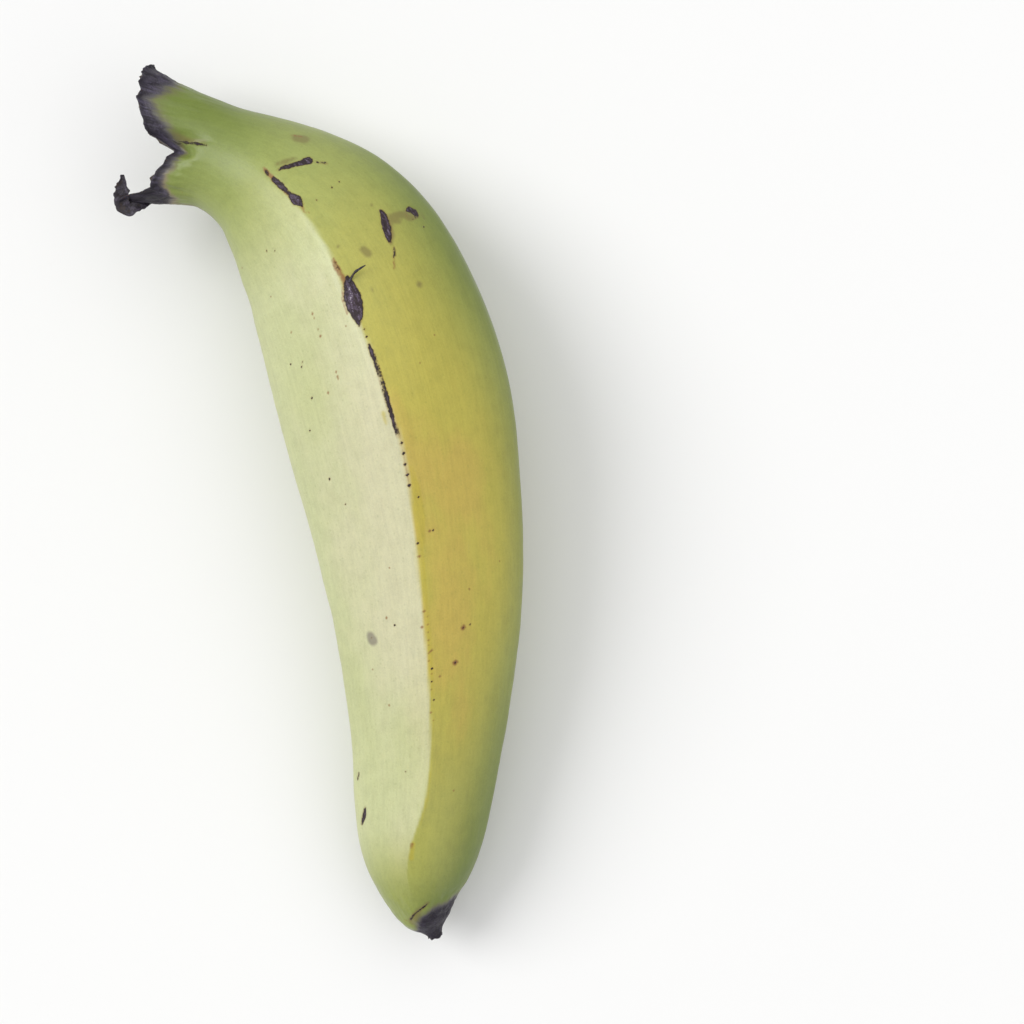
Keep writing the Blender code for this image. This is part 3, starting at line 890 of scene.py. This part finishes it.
def object_from(bm: bmesh.types.BMesh, name: str) -> bpy.types.Object:
    """Turns a bmesh into a smooth object in the scene, with its seams and poles closed.

    Args:
        bm: The bmesh, which is freed.
        name: The object's name.

    Returns:
        The object, at the origin.
    """
    bmesh.ops.remove_doubles(bm, verts=bm.verts, dist=1e-6)
    bmesh.ops.dissolve_degenerate(bm, edges=bm.edges, dist=1e-7)
    bmesh.ops.recalc_face_normals(bm, faces=bm.faces)
    mesh = bpy.data.meshes.new(name)
    bm.to_mesh(mesh)
    bm.free()
    mesh.shade_smooth()
    made = bpy.data.objects.new(name, mesh)
    bpy.context.scene.collection.objects.link(made)
    return made


@dataclass(frozen=True)
class Strand:
    """A thin dry strand: a round line that tapers at both ends.

    Its points are places in millimetres, and its widths belong to them.
    """

    points_mm: tuple[Spot, ...]
    widths_mm: tuple[float, ...]
    sides: int = 9
    steps: int = 26
    crook: float = 0.12
    crook_size: float = 1.1 * MM
    # A direction that no strand runs along.
    aslant: Spot = (0.31, 0.22, 0.93)

    def add_to(self, bm: bmesh.types.BMesh) -> None:
        """Adds the strand to a bmesh."""
        route = route_through(self.points_mm)
        share = np.linspace(0, 1, self.steps)
        along = share * route.knots[-1]
        centre = route.at(along)
        ahead = heading(route, along, 0.05 * MM)
        aside = np.cross(ahead, self.aslant)
        aside /= np.linalg.norm(aside, axis=1)[:, None]
        over = np.cross(ahead, aside)
        width = Course(route.knots, np.array(self.widths_mm) * MM).at(along)
        blunt = np.sqrt(np.clip(1 - (2 * share - 1) ** 6, 0, 1))
        unrest = roughness_at(centre, self.crook_size, 2, 8.0)
        radius = width / 2 * blunt * (1 + 2 * self.crook * unrest)
        turn = 2 * math.pi * np.arange(self.sides + 1) / self.sides
        around = aside[:, None, :] * np.cos(turn)[None, :, None]
        around = around + over[:, None, :] * np.sin(turn)[None, :, None]
        wrap_grid(bm, centre[:, None, :] + around * radius[:, None, None])


class Signal:
    """A number, colour or vector in a shader, with its arithmetic written as expressions."""

    def __init__(self, graph: "Graph", output: bpy.types.NodeSocket) -> None:
        """Wraps an output socket."""
        self.graph = graph
        self.output = output

    def __add__(self, other: "Signal | float") -> "Signal":
        """The sum."""
        return self.graph.math("ADD", self, other)

    __radd__ = __add__

    def __mul__(self, other: "Signal | float") -> "Signal":
        """The product."""
        return self.graph.math("MULTIPLY", self, other)

    __rmul__ = __mul__

    def __sub__(self, other: "Signal | float") -> "Signal":
        """The difference."""
        return self.graph.math("SUBTRACT", self, other)

    def __rsub__(self, other: "Signal | float") -> "Signal":
        """The difference, from a number."""
        return self.graph.math("SUBTRACT", other, self)

    def step(self, low: float, high: float) -> "Signal":
        """0 up to low, 1 from high on, and smooth between."""
        settings = {"interpolation_type": "SMOOTHSTEP"}
        values = {"Value": self, "From Min": low, "From Max": high}
        return self.graph.node("ShaderNodeMapRange", settings, values)

    def clamped(self) -> "Signal":
        """The number, kept between 0 and 1."""
        return self.graph.node("ShaderNodeClamp", {}, {"Value": self})

    def larger(self, other: "Signal | float") -> "Signal":
        """The larger of two numbers."""
        return self.graph.math("MAXIMUM", self, other)


class Graph:
    """The nodes of one material."""

    def __init__(self, name: str) -> None:
        """Starts a material with a Principled shader and nothing else."""
        self.material = bpy.data.materials.new(name)
        self.material.use_nodes = True
        self.tree = self.material.node_tree
        self.tree.nodes.clear()
        self.shader = self.tree.nodes.new("ShaderNodeBsdfPrincipled")
        output = self.tree.nodes.new("ShaderNodeOutputMaterial")
        self.tree.links.new(self.shader.outputs[0], output.inputs["Surface"])

    def plug(self, socket: bpy.types.NodeSocket, value: object) -> None:
        """Links a signal to a socket, or sets its value."""
        if isinstance(value, Signal):
            self.tree.links.new(value.output, socket)
        elif isinstance(value, tuple) and len(value) == 3 and socket.type == "RGBA":
            socket.default_value = (*value, 1.0)
        else:
            socket.default_value = value

    def node(self, kind: str, settings: dict, values: dict, output: str | int = 0) -> Signal:
        """Adds a node.

        Args:
            kind: The node's type.
            settings: Its settings, which are set first.
            values: The value or signal of each input socket, by name or number.
            output: The output that is wanted.

        Returns:
            That output.
        """
        made = self.tree.nodes.new(kind)
        for name, value in settings.items():
            setattr(made, name, value)
        for name, value in values.items():
            self.plug(made.inputs[name], value)
        return Signal(self, made.outputs[output])

    def math(self, operation: str, first: Signal | float, second: Signal | float) -> Signal:
        """A Math node."""
        return self.node("ShaderNodeMath", {"operation": operation}, {0: first, 1: second})

    def mix(self, share: Signal | float, first: Signal | Colour, second: Signal | Colour) -> Signal:
        """The first colour where the share is 0, the second where it is 1."""
        values = {0: share, 6: first, 7: second}
        return self.node("ShaderNodeMix", {"data_type": "RGBA"}, values, 2)

    def tint(self, colour: Signal, brightness: Signal) -> Signal:
        """The colour, made brighter or darker."""
        channels = {0: brightness, 1: brightness, 2: brightness}
        grey = self.node("ShaderNodeCombineColor", {}, channels)
        settings = {"data_type": "RGBA", "blend_type": "MULTIPLY", "clamp_result": False}
        return self.node("ShaderNodeMix", settings, {0: 1.0, 6: colour, 7: grey}, 2)

    def attribute(self, name: str, output: str = "Fac") -> Signal:
        """A field of the mesh."""
        return self.node("ShaderNodeAttribute", {"attribute_name": name}, {}, output)

    def stretched(self, place: Signal, factors: Spot) -> Signal:
        """The place, scaled apart along its three axes."""
        return self.node("ShaderNodeVectorMath", {"operation": "MULTIPLY"}, {0: place, 1: factors})

    def noise(self, place: Signal, size: float, detail: float = 2.0, rough: float = 0.5) -> Signal:
        """Cloudy noise round 0.5, whose largest clouds have this size in metres."""
        values = {"Vector": place, "Scale": 1 / size, "Detail": detail, "Roughness": rough}
        return self.node("ShaderNodeTexNoise", {}, values)

    def cells(self, place: Signal, size: float, output: str = "Distance") -> Signal:
        """Scattered cells: the distance to the nearest middle, in cells, or its colour."""
        return self.node("ShaderNodeTexVoronoi", {}, {"Vector": place, "Scale": 1 / size}, output)

    def bump(self, height: Signal, distance: float) -> Signal:
        """A normal bent by a height; the distance is how far 0 to 1 stands out, in metres."""
        values = {"Height": height, "Distance": distance, "Strength": 1.0}
        return self.node("ShaderNodeBump", {}, values)

    def finish(
        self, colour: Signal | Colour, roughness: Signal | float, normal: Signal | None
    ) -> None:
        """Plugs the results into the shader."""
        self.plug(self.shader.inputs["Base Color"], colour)
        self.plug(self.shader.inputs["Roughness"], roughness)
        if normal is not None:
            self.plug(self.shader.inputs["Normal"], normal)


@dataclass(frozen=True)
class PeelFinish:
    """The waxy peel, with its ripening, its marks and its dried ends, painted light on its upper
    inner face and painted shade low on its outer side. Colours are linear.
    """

    green: Colour = (0.325, 0.375, 0.118)
    # The deep green of the two ends; it is also painted as shade low on the outer side and at the
    # shoulder.
    deep_green_and_shade: Colour = (0.155, 0.205, 0.038)
    yellow: Colour = (0.500, 0.437, 0.078)
    amber: Colour = (0.565, 0.400, 0.090)
    gold: Colour = (0.470, 0.385, 0.040)
    # Painted light: the paler colours of the upper inner face, for the light on that side and a
    # glare over it.
    lit_pale: Colour = (0.590, 0.570, 0.365)
    lit_pale_green: Colour = (0.515, 0.540, 0.285)
    scar: Colour = (0.025, 0.013, 0.016)
    scar_bloom: Colour = (0.106, 0.076, 0.120)
    # Light flecks in the scar's core: dry flakes, with painted glints of its glossy crust.
    flake_and_glint: Colour = (0.42, 0.39, 0.42)
    russet: Colour = (0.250, 0.112, 0.034)
    bruise: Colour = (0.185, 0.150, 0.050)
    # Painted light: a bruise on the upper inner face, painted paler and greyer.
    lit_pale_bruise: Colour = (0.165, 0.135, 0.125)
    dried: Colour = (0.014, 0.010, 0.019)
    dried_bloom: Colour = (0.086, 0.073, 0.114)
    mauve: Colour = (0.078, 0.069, 0.086)
    withered: Colour = (0.150, 0.142, 0.070)
    rosy: Colour = (0.270, 0.205, 0.150)
    cut_face: Colour = (0.085, 0.052, 0.030)
    # The sizes of its patterns.
    fibre_size: float = 0.8 * MM
    cloud_size: float = 15 * MM
    mottle_size: float = 3.2 * MM
    nick_size: float = 1.1 * MM
    grain_size: float = 0.40 * MM
    wrinkle_size: float = 0.75 * MM
    pore_size: float = 1.5 * MM
    speck_size: float = 6.5 * MM
    # What is the same all over.
    roughness: float = 0.40
    relief: float = 0.35 * MM
    specular: float = 0.36
    coat: float = 0.06
    coat_roughness: float = 0.25
    translucence: float = 0.05
    translucence_radius: Colour = (0.004, 0.0026, 0.0012)
    translucence_scale: float = 0.5

    def material(self) -> bpy.types.Material:
        """Builds the material."""
        graph = Graph("waxy_peel")
        place = graph.attribute("straightened", "Vector")
        fibres = graph.noise(graph.stretched(place, (0.045, 1.0, 1.0)), self.fibre_size, 3.0, 0.6)
        clouds = graph.noise(graph.stretched(place, (0.45, 1.0, 1.0)), self.cloud_size, 4.0, 0.55)
        mottle = graph.noise(place, self.mottle_size, 3.0, 0.6)
        nicks = graph.noise(place, self.nick_size, 2.0, 0.6)
        grain = graph.noise(place, self.grain_size, 2.0, 0.6)

        colour = self.ripening(graph, clouds, mottle)
        uneven = (fibres - 0.5) * 0.24 + (mottle - 0.5) * 0.24 + (grain - 0.5) * 0.20
        colour = graph.tint(colour, 1.0 + uneven)
        colour = self.speckles(graph, place, colour, mottle)
        scar, colour = self.marks(graph, place, colour, mottle, nicks, grain)
        dried, colour = self.dried_ends(graph, place, colour, fibres, mottle, grain)

        dull = scar.larger(dried)
        roughness = self.roughness + (mottle - 0.5) * 0.12 + (fibres - 0.5) * 0.10 + dull * 0.16
        height = fibres * 0.14 + mottle * 0.10 + grain * 0.06 + dull * (nicks * 1.1 + grain * 0.5)
        graph.finish(colour, roughness, graph.bump(height, self.relief))
        fixed = {
            "Specular IOR Level": self.specular,
            "Coat Weight": self.coat,
            "Coat Roughness": self.coat_roughness,
            "Subsurface Weight": self.translucence,
            "Subsurface Radius": self.translucence_radius,
            "Subsurface Scale": self.translucence_scale,
        }
        for name, value in fixed.items():
            graph.plug(graph.shader.inputs[name], value)
        return graph.material

    def ripening(self, graph: Graph, clouds: Signal, mottle: Signal) -> Signal:
        """Green turning yellow in soft clouds, with the ripest ridge; deep green mixed in, partly
        painted shade, and the upper inner face painted pale as painted light.
        """
        ripe = graph.attribute("ripe") + (clouds - 0.5) * 0.34 + (mottle - 0.5) * 0.06
        green_depth_and_shade = graph.attribute("green_depth_and_shade") + (clouds - 0.5) * 0.30
        colour = graph.mix(ripe.step(0.0, 0.9), self.green, self.yellow)
        warm = (clouds + ripe * 0.4).step(0.80, 1.06)
        colour = graph.mix(warm * 0.60, colour, self.amber)
        # Painted shade: this darkens the peel to deep green low on the outer side and at the
        # shoulder, as well as at the two ends, where the green is the peel's own.
        colour = graph.mix(green_depth_and_shade.step(0.05, 1.0), colour, self.deep_green_and_shade)
        turning = (ripe + (clouds - 0.5) * 0.5).step(0.25, 0.85)
        # Painted light: the upper inner face is painted paler, for the light on that side and a
        # glare over it.
        lit_pale_face = graph.mix(turning, self.lit_pale_green, self.lit_pale)
        colour = graph.mix(graph.attribute("lit_pale").clamped(), colour, lit_pale_face)
        gold = (graph.attribute("gold") + (mottle - 0.5) * 0.4).step(0.38, 0.72)
        return graph.mix(gold * 0.60, colour, self.gold)

    def speckles(self, graph: Graph, place: Signal, colour: Signal, mottle: Signal) -> Signal:
        """Faint pores all over, and brown specks here and there."""
        pores = 1 - graph.cells(place, self.pore_size).step(0.05, 0.26)
        colour = graph.mix(pores * 0.13, colour, self.deep_green_and_shade)
        far = graph.cells(place, self.speck_size)
        tone = graph.cells(place, self.speck_size, "Color")
        chosen = graph.node("ShaderNodeSeparateColor", {}, {0: tone})
        specks = (1 - (far + (mottle - 0.5) * 0.05).step(0.03, 0.055)) * chosen.step(0.62, 0.68)
        return graph.mix(specks * 0.60, colour, self.russet)

    def marks(
        self,
        graph: Graph,
        place: Signal,
        colour: Signal,
        mottle: Signal,
        nicks: Signal,
        grain: Signal,
    ) -> tuple[Signal, Signal]:
        """Bruises, rubs and scars, with ragged edges.

        Returns:
            How scarred each point is, and the colour.
        """
        lengthwise = graph.stretched(place, (0.40, 1.0, 1.0))
        wrinkles = graph.noise(lengthwise, self.wrinkle_size, 2.0, 0.6)
        ragged = (mottle - 0.5) * 0.16 + (nicks - 0.5) * 0.24 + (grain - 0.5) * 0.10
        bruise = (graph.attribute("bruise") + ragged * 0.7).step(0.26, 0.72)
        # Painted light: a bruise on the paler upper inner face is painted paler and greyer too.
        blemish = graph.mix(graph.attribute("lit_pale"), self.bruise, self.lit_pale_bruise)
        colour = graph.mix(bruise * 0.68, colour, blemish)
        rub = graph.mix(graph.attribute("green_depth_and_shade").step(0.40, 0.80), self.russet, self.bruise)
        russet = (graph.attribute("russet") + ragged).step(0.38, 0.66)
        colour = graph.mix(russet * 0.90, colour, rub)
        depth = graph.attribute("scar")
        scar_field = depth + ragged
        colour = graph.mix(scar_field.step(0.32, 0.50) * 0.34, colour, rub)
        scar = scar_field.step(0.45, 0.55)
        bloom = (wrinkles + (grain - 0.5) * 0.4).step(0.42, 0.66) * depth.step(0.54, 0.68)
        inside = graph.mix(bloom, self.scar, self.scar_bloom)
        core = depth.step(0.70, 0.95)
        # Painted highlight in part: light flecks in the core, for dry flakes and for glints on the
        # glossy crust.
        flakes_and_glints = (wrinkles * 0.7 + grain * 0.6).step(0.77, 0.85) * core
        inside = graph.mix(flakes_and_glints, inside, self.flake_and_glint)
        return scar, graph.mix(scar, colour, inside)

    def dried_ends(
        self,
        graph: Graph,
        place: Signal,
        colour: Signal,
        fibres: Signal,
        mottle: Signal,
        grain: Signal,
    ) -> tuple[Signal, Signal]:
        """The torn crown and the blossom tip: green withers, turns mauve and then black.

        Returns:
            How dried each point is, and the colour.
        """
        drying = graph.attribute("dried") + (fibres - 0.5) * 0.30 + (mottle - 0.5) * 0.36
        across = graph.node("ShaderNodeSeparateXYZ", {}, {0: place}, "Y")
        along = graph.node("ShaderNodeSeparateXYZ", {}, {0: place}, "X")
        inner_lobe = across.step(-4 * MM, -10 * MM)
        tip_half = along.step(150 * MM, 160 * MM)
        withered = graph.mix(inner_lobe, self.withered, self.rosy)
        colour = graph.mix(drying.step(0.04, 0.46) * 0.80, colour, withered)
        colour = graph.mix(drying.step(0.30, 0.66) * 0.90, colour, self.mauve)
        dried = drying.step(0.52, 0.86)
        bloom = (mottle + (fibres - 0.5) * 1.0).step(0.36, 0.74)
        black = graph.mix(bloom, self.dried, self.dried_bloom)
        plain = (drying.step(0.86, 1.06) * 0.65).larger(tip_half * 0.72)
        black = graph.mix(plain, black, self.dried)
        colour = graph.mix(dried, colour, black)
        cut = graph.attribute("cut") * (grain + mottle * 0.6).step(0.66, 0.95)
        return dried, graph.mix(cut, colour, self.cut_face)


@dataclass(frozen=True)
class HuskFinish:
    """Dry dark husk, as on the torn flap, the loose strands and the old flower end."""

    dark: Colour = (0.016, 0.012, 0.017)
    light: Colour = (0.070, 0.058, 0.084)
    brown: Colour = (0.095, 0.052, 0.026)
    patch_size: float = 1.8 * MM
    grain_size: float = 0.35 * MM
    relief: float = 0.25 * MM

    def material(self) -> bpy.types.Material:
        """Builds the material."""
        graph = Graph("dry_husk")
        place = graph.node("ShaderNodeTexCoord", {}, {}, "Object")
        patches = graph.noise(place, self.patch_size, 3.0, 0.6)
        grain = graph.noise(place, self.grain_size, 2.0, 0.6)
        colour = graph.mix((patches + (grain - 0.5) * 0.6).step(0.42, 0.72), self.dark, self.light)
        colour = graph.mix((1 - patches).step(0.52, 0.68) * 0.3, colour, self.brown)
        roughness = 0.58 + (grain - 0.5) * 0.2
        graph.finish(colour, roughness, graph.bump(patches + grain * 0.5, self.relief))
        return graph.material


@dataclass
class TornFlap:
    """The dried tongue of peel that curls up from the inner corner of the crown."""

    # Its middle line, from the root to the free end, and its width there.
    route_mm: tuple[Spot, ...] = (
        (-40.4, 73.8, 21.8),
        (-43.8, 72.2, 23.6),
        (-46.4, 71.5, 24.5),
        (-47.4, 73.4, 25.4),
        (-47.2, 75.9, 26.4),
        (-47.0, 78.9, 27.2),
    )
    widths_mm: tuple[float, ...] = (1.2, 3.0, 4.2, 4.0, 3.2, 0.8)
    # Which way its broad side faces.
    facing: Spot = (-0.30, -0.25, 0.92)
    thickness: float = 0.45 * MM
    cup: float = 0.7 * MM
    crumple: float = 0.3 * MM
    rag_size: float = 1.3 * MM
    # How ragged its edges are at the root, and how much more so at the free end.
    rags: Place = (0.12, 0.40)
    steps: int = 56
    strips: int = 14

    def build(self) -> bpy.types.Object:
        """Bends a flat grid along the middle line, cups it and gives it its thickness."""
        route = route_through(self.route_mm)
        length = route.knots[-1]
        along = np.linspace(0, length, self.steps)
        share = np.linspace(-1, 1, self.strips)
        ahead = heading(route, along, 0.05 * MM)
        aside = np.cross(ahead, self.facing)
        aside /= np.linalg.norm(aside, axis=1)[:, None]
        over = np.cross(aside, ahead)
        width = Course(route.knots, np.array(self.widths_mm) * MM).at(along)
        places = np.repeat(route.at(along)[:, None, :], self.strips, axis=1)
        torn = (self.rags[0] + self.rags[1] * along / length)[:, None]
        ragged = 1 + torn * roughness_at(places + share[None, :, None] * MM, self.rag_size, 3, 9.0)
        reach = (width[:, None] / 2 * share[None, :] * ragged)[..., None]
        flat = places + aside[:, None, :] * reach
        crumpled = self.crumple * roughness_at(flat, self.rag_size, 3, 10.0)[..., None]
        raised = self.cup * (share ** 2)[None, :, None] + crumpled
        bm = bmesh.new()
        wrap_grid(bm, flat + over[:, None, :] * raised)
        bmesh.ops.solidify(bm, geom=bm.faces[:], thickness=self.thickness)
        return object_from(bm, "crown_flap")


@dataclass
class CrownFibres:
    """Loose dry fibres that stand out of the torn cut."""

    seed: int = 5
    count: int = 13
    length_mm: Place = (1.6, 3.6)
    # Their roots lie this far to either side and up or down, and this deep in the cut.
    half_across: float = 13.5
    half_up: float = 4.4
    rooted: float = 0.9 * MM
    widths_mm: tuple[float, ...] = (0.55, 0.45, 0.2)
    # The way they stand out of the cut, and between what limits each bends off it.
    out: Spot = (-0.25, 0.08, 0.0)
    bends: tuple[Place, ...] = ((-0.5, 0.1), (-0.7, 0.7), (-0.5, 0.7))

    def build(self, form: FruitForm, surface: PeelSurface) -> bpy.types.Object:
        """Grows the fibres from spots spread over the cut.

        Args:
            form: The fruit's shape.
            surface: The fruit's surface, which says how far back the cut lies.

        Returns:
            The fibres, as one object.
        """
        rng = random.Random(self.seed)
        bm = bmesh.new()
        for number in range(self.count):
            share = (number + rng.random()) / self.count
            across = (2 * share - 1) * self.half_across * MM
            up = rng.uniform(-self.half_up, self.half_up) * MM
            spot = np.array([[across]]), np.array([[up]])
            back = surface.torn_back(*spot) + self.rooted
            root = form.place(np.zeros(1), *spot, back)[0, 0] / MM
            length = rng.uniform(*self.length_mm)
            bend = Vector([rng.uniform(*limits) for limits in self.bends])
            out = Vector(self.out)
            middle = tuple(Vector(root) + out * length * 0.5 + bend * length * 0.22)
            end = tuple(Vector(root) + out * length * 0.7 + bend * length * 0.75)
            Strand((tuple(root), middle, end), self.widths_mm, steps=12, sides=7).add_to(bm)
        return object_from(bm, "crown_fibres")


@dataclass
class FlowerRemnant:
    """What is left of the flower: a short dry stump in the dimple of the tip."""

    strands: int = 7
    ring_mm: float = 1.5
    reach_mm: float = 1.3
    unevenness: float = 0.25
    rooted_mm: float = 2.2
    straight_mm: float = 1.2
    core_mm: tuple[float, ...] = (0.0, 1.3, 2.4)
    core_widths_mm: tuple[float, ...] = (2.4, 2.2, 1.2)
    widths_mm: tuple[float, ...] = (1.0, 0.8, 0.35)

    def build(self, form: FruitForm) -> bpy.types.Object:
        """Sets a ring of short strands round a thicker one."""
        end = np.array([form.length])
        middle = form.place(end, np.zeros((1, 1)), np.zeros((1, 1)), np.zeros((1, 1)))[0, 0] / MM
        ahead = form.plan.at(end)[0] - form.plan.at(end - 2 * MM)[0]
        forward = Vector((*ahead, 0)).normalized()
        side = forward.cross(Vector((0, 0, 1)))
        bm = bmesh.new()
        root = Vector(middle) - forward * self.rooted_mm
        core = tuple(tuple(root + forward * far) for far in self.core_mm)
        Strand(core, self.core_widths_mm, steps=14, sides=10, crook=0.25).add_to(bm)
        for number in range(self.strands):
            turn = 2 * math.pi * number / self.strands
            out = side * math.cos(turn) + Vector((0, 0, math.sin(turn)))
            uneven = 1 + self.unevenness * math.sin(number * 2.3)
            reach = self.straight_mm + self.reach_mm * uneven
            start = root + out * 0.5 * self.ring_mm
            bent = start + out * 0.35 * self.ring_mm + forward * self.straight_mm
            tip = start + out * 0.75 * self.ring_mm + forward * reach
            line = (tuple(start), tuple(bent), tuple(tip))
            Strand(line, self.widths_mm, steps=12, sides=8).add_to(bm)
        return object_from(bm, "flower_remnant")


@dataclass
class ScarThread:
    """The thin black thread of dried sap that stands up beside the large scar."""

    # Distance from the crown, direction, and height over the peel in millimetres.
    places: tuple[Spot, ...] = (
        (67.2, 92.4, -0.3),
        (66.4, 90.0, 0.3),
        (65.7, 87.4, 0.8),
        (65.4, 84.0, 1.1),
        (65.2, 80.6, 1.0),
    )
    widths_mm: tuple[float, ...] = (0.8, 0.55, 0.5, 0.45, 0.3)
    clearance_mm: float = 0.55

    def build(self, form: FruitForm) -> bpy.types.Object:
        """Lays the thread over the peel."""
        points = []
        for along, direction, height in self.places:
            spot = form.spot(along, direction) / MM
            raised = float(spot[2]) + self.clearance_mm + height
            points.append((float(spot[0]), float(spot[1]), raised))
        bm = bmesh.new()
        Strand(tuple(points), self.widths_mm, steps=40, sides=10, crook=0.2).add_to(bm)
        return object_from(bm, "scar_thread")


@dataclass
class Fruit:
    """The fruit: its peel, and the small dried pieces that stand out of it."""

    form: FruitForm = field(default_factory=FruitForm)
    finish: PeelFinish = field(default_factory=PeelFinish)
    husk: HuskFinish = field(default_factory=HuskFinish)

    def build(self) -> None:
        """Builds and dresses every piece."""
        surface = PeelSurface(self.form)
        peel = surface.build()
        self.dress(peel, self.finish.material())
        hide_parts(NODE)
        husk = self.husk.material()
        self.dress(TornFlap().build(), husk)
        self.dress(CrownFibres().build(self.form, surface), husk)
        self.dress(FlowerRemnant().build(self.form), husk)
        self.dress(ScarThread().build(self.form), husk)

    def dress(self, piece: bpy.types.Object, material: bpy.types.Material) -> None:
        """Gives a piece its material and its place in the model."""
        piece.data.materials.append(material)
        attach(piece, BODY)
        LOG.info("%s: %d faces", piece.name, len(piece.data.polygons))


@dataclass(frozen=True)
class SoftLight:
    """A far soft light that faces the fruit."""

    name: str
    # The direction that it shines from.
    spot: Spot
    # How wide it looks from the fruit.
    width_deg: float
    # Its power on a surface that faces it, in watts for each square metre.
    power: float


@dataclass
class Studio:
    """The pale floor, the soft lights and the camera."""

    lights: tuple[SoftLight, ...] = (
        SoftLight("key", (-0.75, 0.25, 0.75), 36, 1.66),
        SoftLight("top", (0.15, 0.35, 1.2), 80, 1.1),
        SoftLight("fill", (0.9, -0.5, 0.55), 60, 0.3),
    )
    floor_half: float = 12.0
    floor_colour: Colour = (0.84, 0.84, 0.835)
    floor_roughness: float = 0.7
    sky: float = 0.42
    lens_mm: float = 100.0
    sensor_mm: float = 36.0
    # What the photographed frame spans at the fruit's mid height, and how high that is.
    frame_width: float = 1024 * 0.24 * MM
    mid_height: float = 25 * MM
    # Where the frame's centre is, seen from the middle of the fruit's box.
    frame_centre: Place = (46.0 * MM, -1.8 * MM)

    def build(self) -> None:
        """Builds the set."""
        self.lay_floor()
        self.light_sky()
        for light in self.lights:
            self.hang_light(light)
        self.set_camera()

    def lay_floor(self) -> None:
        """A plain pale floor under the fruit."""
        bm = bmesh.new()
        bmesh.ops.create_grid(bm, x_segments=1, y_segments=1, size=self.floor_half)
        floor = object_from(bm, "floor")
        graph = Graph("pale_floor")
        graph.finish(self.floor_colour, self.floor_roughness, None)
        floor.data.materials.append(graph.material)

    def light_sky(self) -> None:
        """Even white light from all round."""
        world = bpy.data.worlds.new("studio")
        world.use_nodes = True
        background = world.node_tree.nodes["Background"]
        background.inputs["Color"].default_value = (1.0, 1.0, 1.0, 1.0)
        background.inputs["Strength"].default_value = self.sky
        bpy.context.scene.world = world
        bpy.context.scene.view_settings.view_transform = "Standard"

    def hang_light(self, light: SoftLight) -> None:
        """Hangs a light and turns it to the fruit."""
        data = bpy.data.lights.new(light.name, "SUN")
        data.angle = math.radians(light.width_deg)
        data.energy = light.power
        lamp = bpy.data.objects.new(light.name, data)
        lamp.location = light.spot
        lamp.rotation_euler = (-Vector(light.spot)).to_track_quat("-Z", "Y").to_euler()
        bpy.context.scene.collection.objects.link(lamp)

    def set_camera(self) -> None:
        """Looks straight down on the fruit, with the photographed frame."""
        data = bpy.data.cameras.new("camera")
        data.lens = self.lens_mm
        data.sensor_width = self.sensor_mm
        camera = bpy.data.objects.new("camera", data)
        distance = self.frame_width * self.lens_mm / self.sensor_mm
        camera.location = (*self.frame_centre, self.mid_height + distance)
        bpy.context.scene.collection.objects.link(camera)
        bpy.context.scene.camera = camera


def main() -> None:
    """Builds the fruit and its set."""
    logging.basicConfig(level=logging.INFO, format="%(name)s: %(message)s")
    Fruit().build()
    Studio().build()


if __name__ == "__main__":
    main()
